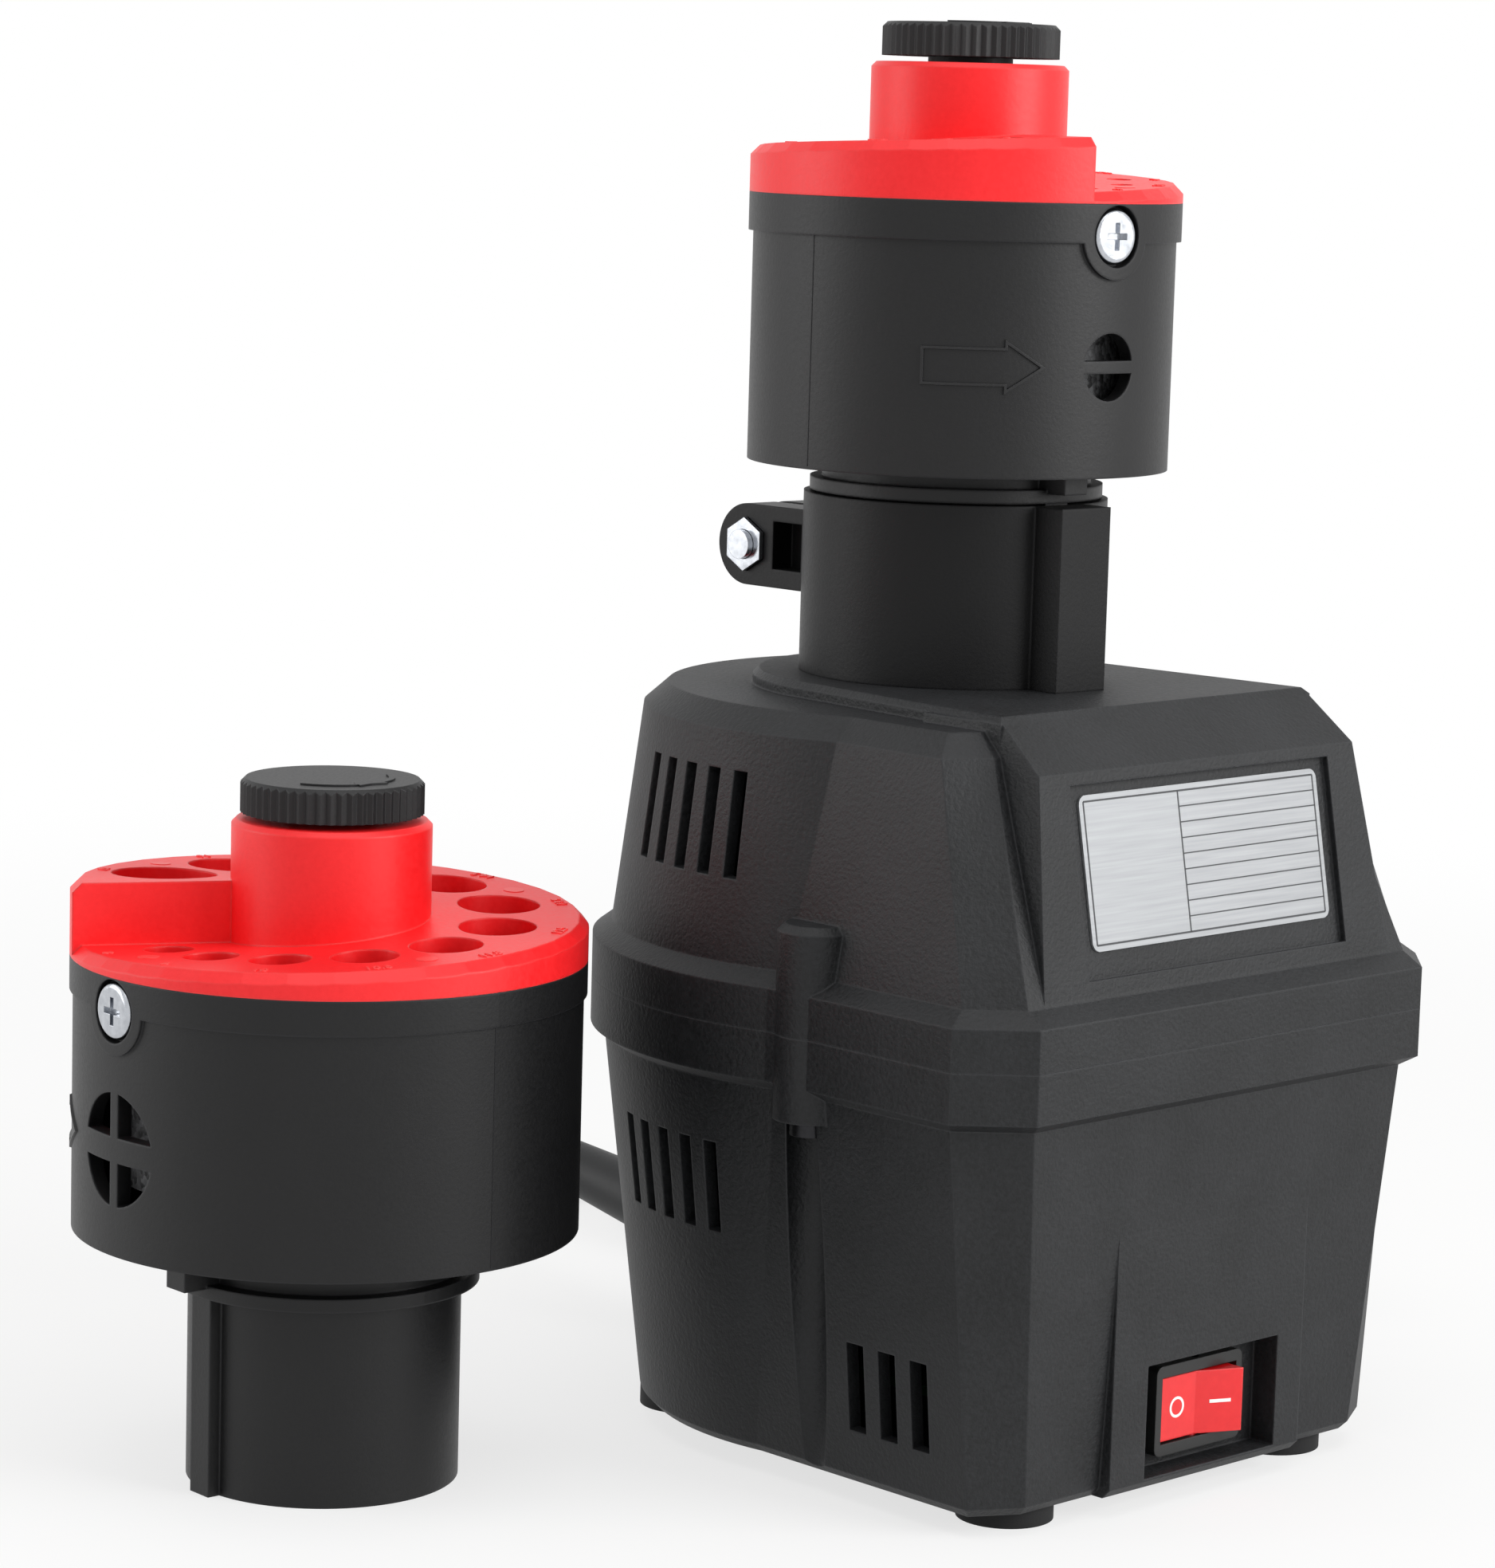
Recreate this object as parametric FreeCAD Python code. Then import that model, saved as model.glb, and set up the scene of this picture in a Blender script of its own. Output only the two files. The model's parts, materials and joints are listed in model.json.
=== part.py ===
import FreeCAD, Part
import math
import os

V = FreeCAD.Vector
UP = V(0, 0, 1)
ORIGIN = V(0, 0, 0)

# Heights above the floor, in millimetres; the spindle axis is the origin in plan and -Y is the front.
foot_height = 3.4
base_chamfer = 1.5
split_height = 75.7
belt_drop = 8.1
belt_rise = 6.9
lower_run_out = 1.6
upper_run_in = 2.4
cover_height = 46.7
roof_thickness = 3.0
shoulder_drop = 0.6
seat_step = 0.6
plinth_rise = 1.9
neck_height = 30.0
belt_low = split_height - belt_drop
lower_wall_top = belt_low - lower_run_out
belt_high = split_height + belt_rise
upper_wall_low = belt_high + upper_run_in
ceiling_height = split_height + cover_height
shoulder_height = ceiling_height - shoulder_drop
top_height = ceiling_height + roof_thickness
seat_height = top_height + seat_step
plinth_top = seat_height + plinth_rise
neck_top = plinth_top + neck_height

# Plan sizes of the housing: half width, front distance, rear bulge past the half width, corner legs.
wall = 2.6
belt_plan = dict(half=56.5, front=66.2, bulge=2.3, leg_x=10.0, leg_y=9.3)
lower_step = 2.4
upper_step = 3.5
lower_top_plan = dict(half=belt_plan["half"] - lower_step, front=belt_plan["front"] - lower_step,
                      bulge=belt_plan["bulge"], leg_x=9.6, leg_y=8.8)
base_plan = dict(half=48.2, front=60.4, bulge=0.7, leg_x=8.5, leg_y=4.8)
upper_low_plan = dict(half=belt_plan["half"] - upper_step, front=belt_plan["front"] - upper_step,
                      bulge=2.6, leg_x=7.3, leg_y=7.1)
shoulder_plan = dict(half=46.8, front=47.5, bulge=4.3, leg_x=7.5, leg_y=4.0)
top_inset = 4.0
ceiling_inset = 5.5

# Rubber feet and their screws
foot_radius = 7.85
front_foot_x = 33.0
front_foot_y = -49.8
rear_foot_x = 28.0
rear_foot_y = 30.0
foot_screw_radius = 1.75
foot_screw_head = 3.6

# Switch pad, recess and rocker switch
pad_face = -62.7
pad_half = 23.2
switch_x = 1.6
switch_z = 14.6
recess_half_width = 16.0
recess_half_height = 9.3
recess_depth = 5.0
panel_thickness = 2.4
bezel_half_width = 10.5
bezel_half_height = 7.5
bezel_thickness = 2.2
switch_body_depth = 17.0
terminal_length = 6.0
rocker_half_width = 8.3
rocker_half_height = 5.25
rocker_gap = 0.3
rocker_tilt = 12.0
rocker_rise = 1.5
rocker_pin = 1.2
pin_clearance = 0.06

# Housing screws: two in the side bosses and two inside the rear
boss_inset = 5.0
boss_x = belt_plan["half"] - boss_inset
boss_y = -22.0
boss_radius = 6.2
boss_drop = 13.7
boss_rise = 17.8
boss_bottom = split_height - boss_drop
boss_top = split_height + boss_rise
groove_radius = 4.0
rear_screw_ring = 48.5
rear_screw_angle = 55.0
housing_screw_radius = 1.7
housing_screw_head = 3.4

# Vents
low_vent_width = 3.8
low_vent_pitch = 7.0
low_vent_first = -32.2
low_vent_bottom = 12.4
low_vent_top = 27.0
mid_vent_width = 2.9
mid_vent_first = 157.5
mid_vent_pitch = 6.25
mid_vent_bottom = 40.0
mid_vent_top = 55.2
top_vent_first = 158.0
top_vent_pitch = 6.6
top_vent_drop = 6.3
top_vent_length = 17.2
top_vent_top = shoulder_height - top_vent_drop
top_vent_bottom = top_vent_top - top_vent_length
vents_in_row = 5

# Sloping block that carries the rating plate
block_low_half = 42.0
block_high_half = 38.0
block_low_front = -62.6
block_high_front = -56.0
block_drop = 2.6
block_high = ceiling_height - block_drop
block_top_front = -47.0
block_over = 1.5
block_top = top_height + block_over
block_slope = math.hypot(block_high - upper_wall_low, block_high_front - block_low_front)
plate_recess_half = 31.3
plate_recess_low = 3.0
plate_recess_high = block_slope - 1.9
plate_recess_depth = 1.2
plate_side_gap = 2.5
plate_low_gap = 4.3
plate_high_gap = 1.7
plate_thickness = 0.4

# Clamp neck
plinth_radius = 33.0
plinth_front = -47.0
plinth_front_half = 37.5
neck_radius = 25.35
tube_radius = 22.0
tube_clearance = 0.3
key_angle = -93.0
rib_half = 5.5
rib_reach = 31.0
key_half = 2.5
key_reach = 24.0
slit_half = 1.2
ear_half = 8.0
ear_root = 22.0
ear_height = 7.0
bolt_y = 41.5
bolt_drop = 11.7
bolt_z = neck_top - bolt_drop
bolt_radius = 2.5
bolt_clearance = 0.08
nut_flats = 8.0
nut_thickness = 4.0

# Motor
can_radius = 30.0
can_wall = 1.5
can_bottom = 40.0
bell_gap = 10.4
bell_thickness = 4.0
bell_top = ceiling_height - bell_gap
bell_plate = bell_top - bell_thickness
can_top = bell_plate - bell_thickness
column_ring = 22.0
shaft_radius = 4.0
shaft_clearance = 0.05
shaft_bottom = 22.5
shaft_top = seat_height - 1.5
front_bearing_radius = 11.0
bearing_width = 7.0
front_bearing_low = bell_top - 1.0
front_bearing_high = front_bearing_low + bearing_width
rear_bearing_radius = 8.0
core_radius = 24.0
core_low = can_bottom + 12.0
core_high = can_top - 20.0
commutator_radius = 10.0
commutator_length = 9.0
commutator_high = can_top - 1.0
commutator_low = commutator_high - commutator_length
brush_gap = 0.35
fan_radius = 27.0
fan_low = 24.0
fan_high = 32.5
fan_blades = 11
coupling_radius = 10.0
coupling_low = ceiling_height - 3.0
coupling_high = seat_height + 6.5
socket_floor = seat_height - 0.5
dog_flats = 12.0
dog_clearance = 0.3

# Grinding heads: the fitted one, whose tube reaches the seat in the neck, and the second, larger one of the set
head_gap = 0.3
fitted = dict(
    tube_length=plinth_rise + neck_height + head_gap, flange_radius=24.4, collar=2.6, drum_radius=35.0, rim_radius=35.8,
    rim_band=6.3, vent_radius=5.45, vent_height=17.9, vent_bar_x=0.0, vent_bar_z=1.0,
    wheel_radius=29.0, post_radius=16.3, step_angle=-101.6, ramp_low=1.8, ramp_high=10.5,
    hole_ring=26.2, first_hole=3.2, hole_growth=0.5, last_hole_angle=336.0,
)
second = dict(
    tube_length=32.4, flange_radius=24.9, collar=6.5, drum_radius=40.7, rim_radius=41.25,
    rim_band=5.5, vent_radius=9.0, vent_height=16.9, vent_bar_x=1.0, vent_bar_z=2.0,
    wheel_radius=34.0, post_radius=16.0, step_angle=-118.0, ramp_low=2.0, ramp_high=12.0,
    hole_ring=27.8, first_hole=8.0, hole_growth=0.9, last_hole_angle=333.0,
)
second_x = -102.2
second_y = 37.0
second_turn = -90.0
hole_count = 11
first_hole_angle = 14.0
flange_height = 2.2
drum_height = 44.0
drum_wall = 2.6
tube_wall = 2.5
drum_floor = 3.0
cap_depth = 8.0
cap_clearance = 0.3
deck_chamfer = 1.5
deck_sections = 18
post_height = 21.8
knob_radius = 14.65
knob_gap = 1.0
knob_height = 5.5
knob_ribs = 54
knob_rib_depth = 0.5
knob_hub = 7.0
run_clearance = 0.06
adjust_travel = 1.5
plunger_radius = 6.0
adjust_screw = 3.0
spindle_radius = 4.0
cap_screw_drop = 5.2
cap_screw_head = 4.5
cap_screw_shank = 1.9
wheel_low = 9.0
wheel_thickness = 18.0

# Cord, plug and tie
cord_radius = 3.25
sleeve_root = V(0.0, 53.4, 21.1)
sleeve_tilt = 8.0
sleeve_length = 44.6
sleeve_root_radius = 6.6
sleeve_tip_radius = 4.4
coil_x = 90.0
coil_y = 102.0
coil_inner = 26.0
coil_pitch = 7.0
coil_start = 90.0
coil_end = -34.0
coil_whole_turns = 6
coil_tail = 21.0
tie_thickness = 1.0
tie_slack = 0.3
tie_width = 6.0
tie_angle = 215.0
plug_half_width = 17.5
plug_thickness = 13.7
plug_sleeve = 20.0
plug_length = 36.0
pin_radius = 2.0
pin_spread = 9.3
pin_length = 19.0


def cylinder(radius, low, high, x=0.0, y=0.0):
    return Part.makeCylinder(radius, high - low, V(x, y, low))


def ring(outer, inner, low, high, x=0.0, y=0.0):
    return cylinder(outer, low, high, x, y).cut(cylinder(inner, low - 1, high + 1, x, y))


def cone(low_radius, high_radius, low, high, x=0.0, y=0.0):
    return Part.makeCone(low_radius, high_radius, high - low, V(x, y, low))


def block(x0, x1, y0, y1, z0, z1):
    return Part.makeBox(x1 - x0, y1 - y0, z1 - z0, V(x0, y0, z0))


def prism(points, low, high):
    corners = [V(x, y, low) for x, y in points]
    face = Part.Face(Part.makePolygon(corners + corners[:1]))
    return face.extrude(V(0, 0, high - low))


def hexagon(flats, low, high, x=0.0, y=0.0):
    reach = flats / math.sqrt(3.0)
    angles = [math.radians(60 * i) for i in range(6)]
    return prism([(x + reach * math.cos(a), y + reach * math.sin(a)) for a in angles], low, high)


def along_x(shape):
    turned = shape.copy()
    turned.rotate(ORIGIN, V(0, 1, 0), 90)
    return turned


def turn(shape, degrees):
    turned = shape.copy()
    turned.rotate(ORIGIN, UP, degrees)
    return turned


def move(shape, x, y, z=0.0):
    moved = shape.copy()
    moved.translate(V(x, y, z))
    return moved


def radial(radius, near, far, height, degrees):
    pin = Part.makeCylinder(radius, far - near, V(near, 0, height), V(1, 0, 0))
    return turn(pin, degrees)


def radial_block(half, near, far, low, high, degrees):
    return turn(block(near, far, -half, half, low, high), degrees)


def at_angle(distance, degrees):
    return distance * math.cos(math.radians(degrees)), distance * math.sin(math.radians(degrees))


def join(first, *others):
    return first.multiFuse(list(others)).removeSplitter()


# The exported frame has its origin under the middle of the footprint of the machine and the second head.
frame_shift = V(
    -0.5 * (second_x - second["rim_radius"] + belt_plan["half"] + belt_plan["bulge"]),
    -0.5 * (second_y + second["rim_radius"] - belt_plan["front"]),
    0,
)


def save(name, *shapes):
    for shape in shapes:
        if not shape.isValid():
            print("invalid", name)
    if len(shapes) == 1:
        whole = shapes[0].copy()
    else:
        whole = Part.makeCompound(list(shapes))
    whole.translate(frame_shift)
    whole.exportStep("parts/" + name + ".step")
    size = whole.BoundBox
    print("%-24s solids %d volume %9.1f  z %.2f to %.2f"
          % (name, len(whole.Solids), whole.Volume, size.ZMin, size.ZMax))


def corner_wire(z, plan, inset):
    slant = math.hypot(plan["leg_x"], plan["leg_y"])
    cut_x = plan["leg_x"] - inset + inset * (slant - plan["leg_x"]) / plan["leg_y"]
    cut_y = plan["leg_y"] - inset + inset * (slant - plan["leg_y"]) / plan["leg_x"]
    half = plan["half"] - inset
    front = plan["front"] - inset
    corners = [V(-half, 0, z), V(-half, cut_y - front, z), V(cut_x - half, -front, z),
               V(half - cut_x, -front, z), V(half, cut_y - front, z), V(half, 0, z)]
    return Part.makePolygon(corners + corners[:1])


def housing_form(*levels):
    """Round at the rear and square at the front; each level is a height, a plan and an inset."""
    form = stack(*[corner_wire(*level) for level in levels])
    profile = [(plan["half"] + plan["bulge"] - inset, z) for z, plan, inset in levels]
    points = [V(0, 0, profile[0][1])] + [V(r, 0, z) for r, z in profile] + [V(0, 0, profile[-1][1])]
    round_part = Part.Face(Part.makePolygon(points + points[:1])).revolve(ORIGIN, UP, 360)
    return join(form, round_part)


def rectangle(z, half, front, back):
    corners = [V(-half, front, z), V(half, front, z), V(half, back, z), V(-half, back, z)]
    return Part.makePolygon(corners + corners[:1])


def stack(*wires):
    return Part.makeLoft(list(wires), True, True)


def vent_row(width, first, pitch, low, high):
    shapes = []
    for i in range(vents_in_row):
        angle = first + pitch * i
        for azimuth in (angle, 180 - angle):
            shapes.append(radial_block(0.5 * width, 36, 66, low, high, azimuth))
    return shapes


def rounded_block(half_x, half_z, y0, y1, corner, x, z):
    body = block(-half_x, half_x, y0, y1, -half_z, half_z)
    edges = [e for e in body.Edges if abs(e.Vertexes[0].Y - e.Vertexes[1].Y) > 0.5 * (y1 - y0)]
    return move(body.makeFillet(corner, edges), x, 0, z)


def pan_screw(head_radius, head_height, shank_radius, length):
    head = cylinder(head_radius, 0, head_height)
    head = head.makeFillet(0.45 * head_height, [head.Edges[0]])
    cross = [block(-2.2, 2.2, -0.5, 0.5, head_height - 1.2, head_height + 1),
             block(-0.5, 0.5, -2.2, 2.2, head_height - 1.2, head_height + 1)]
    return join(head.cut(cross[0]).cut(cross[1]), cylinder(shank_radius, -length, 0))


os.makedirs("parts", exist_ok=True)

# Lower housing: the moulded tub with switch recess, vents, screw columns and the cord entry
floor_top = foot_height + wall
tub = housing_form(
    (foot_height, base_plan, base_chamfer),
    (foot_height + base_chamfer, base_plan, 0),
    (lower_wall_top, lower_top_plan, 0),
    (belt_low, belt_plan, 0),
    (split_height, belt_plan, 0),
)
hollow = housing_form(
    (floor_top, base_plan, wall),
    (lower_wall_top, lower_top_plan, wall),
    (split_height + 1, lower_top_plan, wall),
)
side = [(pad_face, foot_height + base_chamfer), (pad_face, 55.0), (-55.0, 55.0),
        (-55.0, foot_height), (pad_face + base_chamfer, foot_height)]
pad_wire = Part.makePolygon([V(switch_x - pad_half - 1, y, z) for y, z in side + side[:1]])
pad = Part.Face(pad_wire).extrude(V(2 * pad_half, 0, 0))
recess_back = pad_face + recess_depth
recess_wall = block(
    switch_x - recess_half_width - wall, switch_x + recess_half_width + wall,
    -59.0, recess_back + panel_thickness, foot_height + 1, switch_z + recess_half_height + wall,
)
recess = block(
    switch_x - recess_half_width, switch_x + recess_half_width, pad_face - 5, recess_back,
    switch_z - recess_half_height, switch_z + recess_half_height,
)
panel_hole = block(
    switch_x - bezel_half_width + 0.8, switch_x + bezel_half_width - 0.8, -65, -40,
    switch_z - bezel_half_height + 0.8, switch_z + bezel_half_height - 0.8,
)
tub = tub.fuse(pad).cut(hollow).fuse(recess_wall).cut(recess).cut(panel_hole)
feet = [(x, y) for x, y in (
    (front_foot_x, front_foot_y), (-front_foot_x, front_foot_y),
    (rear_foot_x, rear_foot_y), (-rear_foot_x, rear_foot_y))]
rear_screws = [at_angle(rear_screw_ring, a) for a in (rear_screw_angle, 180 - rear_screw_angle)]
side_screws = [(boss_x, boss_y), (-boss_x, boss_y)]
tub_outer = housing_form(
    (foot_height, base_plan, base_chamfer),
    (foot_height + base_chamfer, base_plan, 0),
    (lower_wall_top, lower_top_plan, 0),
)
posts = [cylinder(5.0, foot_height, 16.0, x, y) for x, y in feet]
posts += [cylinder(groove_radius + wall, foot_height, boss_bottom + 1, x, y).common(tub_outer)
          for x, y in side_screws + rear_screws]
posts += [cylinder(boss_radius, boss_bottom, split_height, x, y) for x, y in side_screws + rear_screws]
board_front = recess_back + switch_body_depth + terminal_length + 2.7
board_posts = [(x, board_front + back) for back in (4, 32) for x in (18.0, -18.0)]
posts += [cylinder(3.0, foot_height + 1, 12.0, x, y) for x, y in board_posts]
cord_boss = Part.makeCylinder(9.5, 9.0, V(0, -9.0, 0), V(0, 1, 0))
cord_hole = Part.makeCylinder(4.6, 20.0, V(0, -15.0, 0), V(0, 1, 0))
sleeve_place = FreeCAD.Placement(sleeve_root, FreeCAD.Rotation(V(1, 0, 0), sleeve_tilt))
for piece in (cord_boss, cord_hole):
    piece.Placement = sleeve_place
tub = join(tub, *posts, cord_boss)
holes = [cord_hole]
holes += [cylinder(foot_screw_radius + 0.1, 0, 14.0, x, y) for x, y in feet]
holes += [cylinder(groove_radius, 0, boss_bottom, x, y) for x, y in side_screws + rear_screws]
holes += [cylinder(housing_screw_radius + 0.1, 0, 90, x, y) for x, y in side_screws + rear_screws]
holes += [cylinder(1.2, 6.5, 13.0, x, y) for x, y in board_posts]
for i in range(3):
    middle = low_vent_first - low_vent_pitch * i
    for x0, x1 in ((38, 68), (-68, -38)):
        holes.append(block(x0, x1, middle - low_vent_width / 2, middle + low_vent_width / 2,
                           low_vent_bottom, low_vent_top))
holes += vent_row(mid_vent_width, mid_vent_first, mid_vent_pitch, mid_vent_bottom, mid_vent_top)
tub = tub.cut(Part.makeCompound(holes))
save("lower_housing", tub)

# Upper housing: the moulded cover with rating block, plinth and motor columns, and the split neck on it
cover = housing_form(
    (split_height, belt_plan, 0),
    (belt_high, belt_plan, 0),
    (upper_wall_low, upper_low_plan, 0),
    (shoulder_height, shoulder_plan, 0),
    (top_height, shoulder_plan, top_inset),
)
cover_hollow = housing_form(
    (split_height - 1, lower_top_plan, wall),
    (belt_high, lower_top_plan, wall),
    (upper_wall_low + 1, upper_low_plan, wall),
    (shoulder_height - wall, shoulder_plan, wall),
    (ceiling_height, shoulder_plan, ceiling_inset),
)
rating_block = stack(
    rectangle(upper_wall_low, block_low_half, block_low_front, -30),
    rectangle(block_high, block_high_half, block_high_front, -30),
    rectangle(block_top, plinth_front_half - 0.5, block_top_front, -30),
)
block_wall = wall + plate_recess_depth
block_hollow = stack(
    rectangle(upper_wall_low - 2, block_low_half - wall, block_low_front + block_wall, -35),
    rectangle(block_high - wall, block_high_half - wall, block_high_front + block_wall, -35),
    rectangle(ceiling_height, block_high_half - block_wall, block_top_front, -35),
)
plinth = join(
    prism([(-plinth_radius, 0), (-plinth_front_half, plinth_front),
           (plinth_front_half, plinth_front), (plinth_radius, 0)], ceiling_height + 1, plinth_top),
    cylinder(plinth_radius, ceiling_height + 1, plinth_top),
)
plinth_edges = [e for e in plinth.Edges if e.BoundBox.ZMin > plinth_top - 0.01]
plinth = plinth.makeChamfer(1.0, plinth_edges)
cover = cover.fuse(rating_block).fuse(plinth).cut(cover_hollow).cut(block_hollow)
neck = cylinder(neck_radius, plinth_top, neck_top)
rib = radial_block(rib_half, 0, rib_reach, plinth_top, neck_top, key_angle)
ear = join(
    block(-ear_half, ear_half, ear_root, bolt_y, bolt_z - ear_height, bolt_z + ear_height),
    move(along_x(cylinder(ear_height, -ear_half, ear_half)), 0, bolt_y, bolt_z),
)
columns = [cylinder(4.5, bell_top, ceiling_height + 1, *at_angle(column_ring, 45 + 90 * i)) for i in range(4)]
bosses = []
for x, y in side_screws:
    post = cylinder(boss_radius, split_height, boss_top, x, y)
    bosses.append(post.makeChamfer(1.2, [e for e in post.Edges if e.BoundBox.ZMin > boss_top - 0.1]))
bosses += [cylinder(boss_radius, split_height, boss_top, x, y) for x, y in rear_screws]
cover = join(cover, *columns, *bosses)
bore_radius = tube_radius + tube_clearance
tube_way = [
    cylinder(bore_radius, seat_height, neck_top + 1),
    radial_block(key_half + tube_clearance, 0, key_reach + 2 * tube_clearance, seat_height, neck_top + 1, key_angle),
]
neck_holes = tube_way + [
    block(-slit_half, slit_half, 15, 60, plinth_top + 0.6, neck_top + 1),
    move(along_x(cylinder(bolt_radius + bolt_clearance, -20, 20)), 0, bolt_y, bolt_z),
    move(along_x(hexagon(nut_flats + 0.2, -ear_half - 1, -ear_half + nut_thickness - 1)), 0, bolt_y, bolt_z),
    block(-ear_half - 1, -3.4, 28.2, 35.2, bolt_z - 3.8, bolt_z + 4.4),
    block(3.4, ear_half + 1, 28.2, 35.2, bolt_z - 3.8, bolt_z + 4.4),
]
neck = join(neck, rib, ear)
for hole in neck_holes:
    neck = neck.cut(hole)
save("clamp_neck", neck)
holes = tube_way + [cylinder(coupling_radius + 2, ceiling_height - 1, seat_height + 1)]
holes += [cylinder(1.6, bell_top - 1, ceiling_height - 2, *at_angle(column_ring, 45 + 90 * i)) for i in range(4)]
holes += [cylinder(housing_screw_radius + 0.1, split_height - 1, boss_top - 4, x, y)
          for x, y in side_screws + rear_screws]
slope = math.degrees(math.atan2(block_high - upper_wall_low, block_high_front - block_low_front))
face_place = FreeCAD.Placement(V(0, block_low_front, upper_wall_low), FreeCAD.Rotation(V(1, 0, 0), slope))
plate_recess = block(-plate_recess_half, plate_recess_half, plate_recess_low, plate_recess_high,
                     -plate_recess_depth, 4)
plate_recess.Placement = face_place
holes.append(plate_recess)
holes += vent_row(mid_vent_width, top_vent_first, top_vent_pitch, top_vent_bottom, top_vent_top)
cover = cover.cut(Part.makeCompound(holes))
save("upper_housing", cover)

plate_half_width = plate_recess_half - plate_side_gap
plate = block(-plate_half_width, plate_half_width, plate_recess_low + plate_low_gap, plate_recess_high - plate_high_gap,
              -plate_recess_depth, plate_thickness - plate_recess_depth)
plate = plate.makeFillet(1.6, [e for e in plate.Edges if abs(e.Vertexes[0].Z - e.Vertexes[1].Z) > 0.1])
plate.Placement = face_place
save("rating_plate", plate)

# Feet with their screws, and the screws that hold the housing halves together
rubber = []
screws = []
for x, y in feet:
    foot = cylinder(foot_radius, 0, foot_height, x, y)
    well = cylinder(foot_screw_head + 0.3, -1, 2.0, x, y)
    rubber.append(foot.cut(well).cut(cylinder(foot_screw_radius + 0.1, 0, 9, x, y)))
    screws.append(join(cylinder(foot_screw_head, 0.5, 2.0, x, y), cylinder(foot_screw_radius, 2.0, 13.0, x, y)))
save("rubber_feet", *rubber)
save("foot_screws", *screws)
long_screws = []
for x, y in side_screws + rear_screws:
    head = cylinder(housing_screw_head, boss_bottom - 2.6, boss_bottom, x, y)
    head = head.cut(hexagon(3.0, boss_bottom - 4, boss_bottom - 1.2, x, y))
    long_screws.append(join(head, cylinder(housing_screw_radius, boss_bottom, boss_top - 6, x, y)))
save("housing_screws", *long_screws)

# Rocker switch: moulded frame snapped in the recess, rocker shown in the off position
bezel_front = recess_back - bezel_thickness
opening_half = rocker_half_width + 0.8
opening_height = rocker_half_height + rocker_gap
pivot_y = bezel_front + rocker_rise + 0.5
frame_back = recess_back + switch_body_depth
frame = join(
    rounded_block(bezel_half_width, bezel_half_height, bezel_front, recess_back, 1.4, switch_x, switch_z),
    block(switch_x - bezel_half_width + 0.9, switch_x + bezel_half_width - 0.9, recess_back, frame_back,
          switch_z - bezel_half_height + 0.9, switch_z + bezel_half_height - 0.9),
    *[block(switch_x + x - 0.4, switch_x + x + 0.4, frame_back, frame_back + terminal_length,
            switch_z - 2.4, switch_z + 2.4) for x in (-6, 6)],
)
frame = frame.cut(block(switch_x - opening_half, switch_x + opening_half, bezel_front - 1, frame_back - 4,
                        switch_z - opening_height, switch_z + opening_height))
frame = frame.cut(cylinder(rocker_pin + pin_clearance, switch_z - bezel_half_height, switch_z + bezel_half_height,
                           switch_x, pivot_y))
save("switch_frame", frame)
end_rise = rocker_rise + rocker_half_width * math.tan(math.radians(rocker_tilt))
rocker = prism([(-rocker_half_width, -end_rise), (0, -rocker_rise), (rocker_half_width, -end_rise),
                (rocker_half_width - 1.2, 3.5), (0, 6.0), (1.2 - rocker_half_width, 3.5)],
               -rocker_half_height, rocker_half_height)
pins = cylinder(rocker_pin, -opening_height - 0.9, opening_height + 0.9)
save("switch_rocker", move(turn(join(rocker, pins), -rocker_tilt), switch_x, pivot_y, switch_z))

# Clamp nut and clamp screw in the split ears of the neck
nut = hexagon(nut_flats, -ear_half - 1, -ear_half + nut_thickness - 1)
nut = nut.cut(cylinder(bolt_radius + bolt_clearance, -20, 0))
save("clamp_nut", move(along_x(nut), 0, bolt_y, bolt_z))
bolt = join(cylinder(bolt_radius, -ear_half - 2.2, ear_half), cylinder(4.25, ear_half, ear_half + 5))
bolt = bolt.cut(hexagon(4.0, ear_half + 2.4, ear_half + 6))
save("clamp_screw", move(along_x(bolt), 0, bolt_y, bolt_z))

# Motor: drawn can with bells, ball bearings, magnets, brushes and the screws into the housing columns
save("motor_can", ring(can_radius, can_radius - can_wall, can_bottom, can_top))
magnet_outer = can_radius - can_wall
arcs = ring(magnet_outer, core_radius + 1, core_low - 4, core_high + 4)
save("motor_magnets", *[arcs.common(turn(prism([(0, 0), (50, -60), (50, 60)], core_low - 5, core_high + 5), a))
                        for a in (0, 180)])
front_bell = join(
    ring(can_radius, can_radius - can_wall - 1, can_top, bell_plate),
    cylinder(can_radius, bell_plate, bell_top),
    cylinder(front_bearing_radius + 3, bell_top, front_bearing_high + 0.6),
)
front_bell = front_bell.cut(cylinder(front_bearing_radius, front_bearing_low, front_bearing_high + 2))
front_bell = front_bell.cut(cylinder(front_bearing_radius - 3, bell_plate - 1, bell_top))
for i in range(4):
    front_bell = front_bell.cut(cylinder(1.8, bell_plate - 1, bell_top + 1, *at_angle(column_ring, 45 + 90 * i)))
save("front_bell", front_bell)
rear_bell = cylinder(can_radius, can_bottom - 6, can_bottom)
rear_bell = rear_bell.cut(cylinder(rear_bearing_radius, can_bottom - 5.5, can_bottom + 1))
rear_bell = rear_bell.cut(cylinder(rear_bearing_radius - 2, can_bottom - 7, can_bottom))
for i in range(6):
    rear_bell = rear_bell.cut(cylinder(4.0, can_bottom - 7, can_bottom + 1, *at_angle(19.0, 60 * i)))
save("rear_bell", rear_bell)
bearing_bore = shaft_radius + shaft_clearance
save("front_bearing", ring(front_bearing_radius, bearing_bore, front_bearing_low, front_bearing_high))
save("rear_bearing", ring(rear_bearing_radius, bearing_bore, can_bottom - 5.5, can_bottom - 0.5))
holders = []
brushes = []
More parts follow.
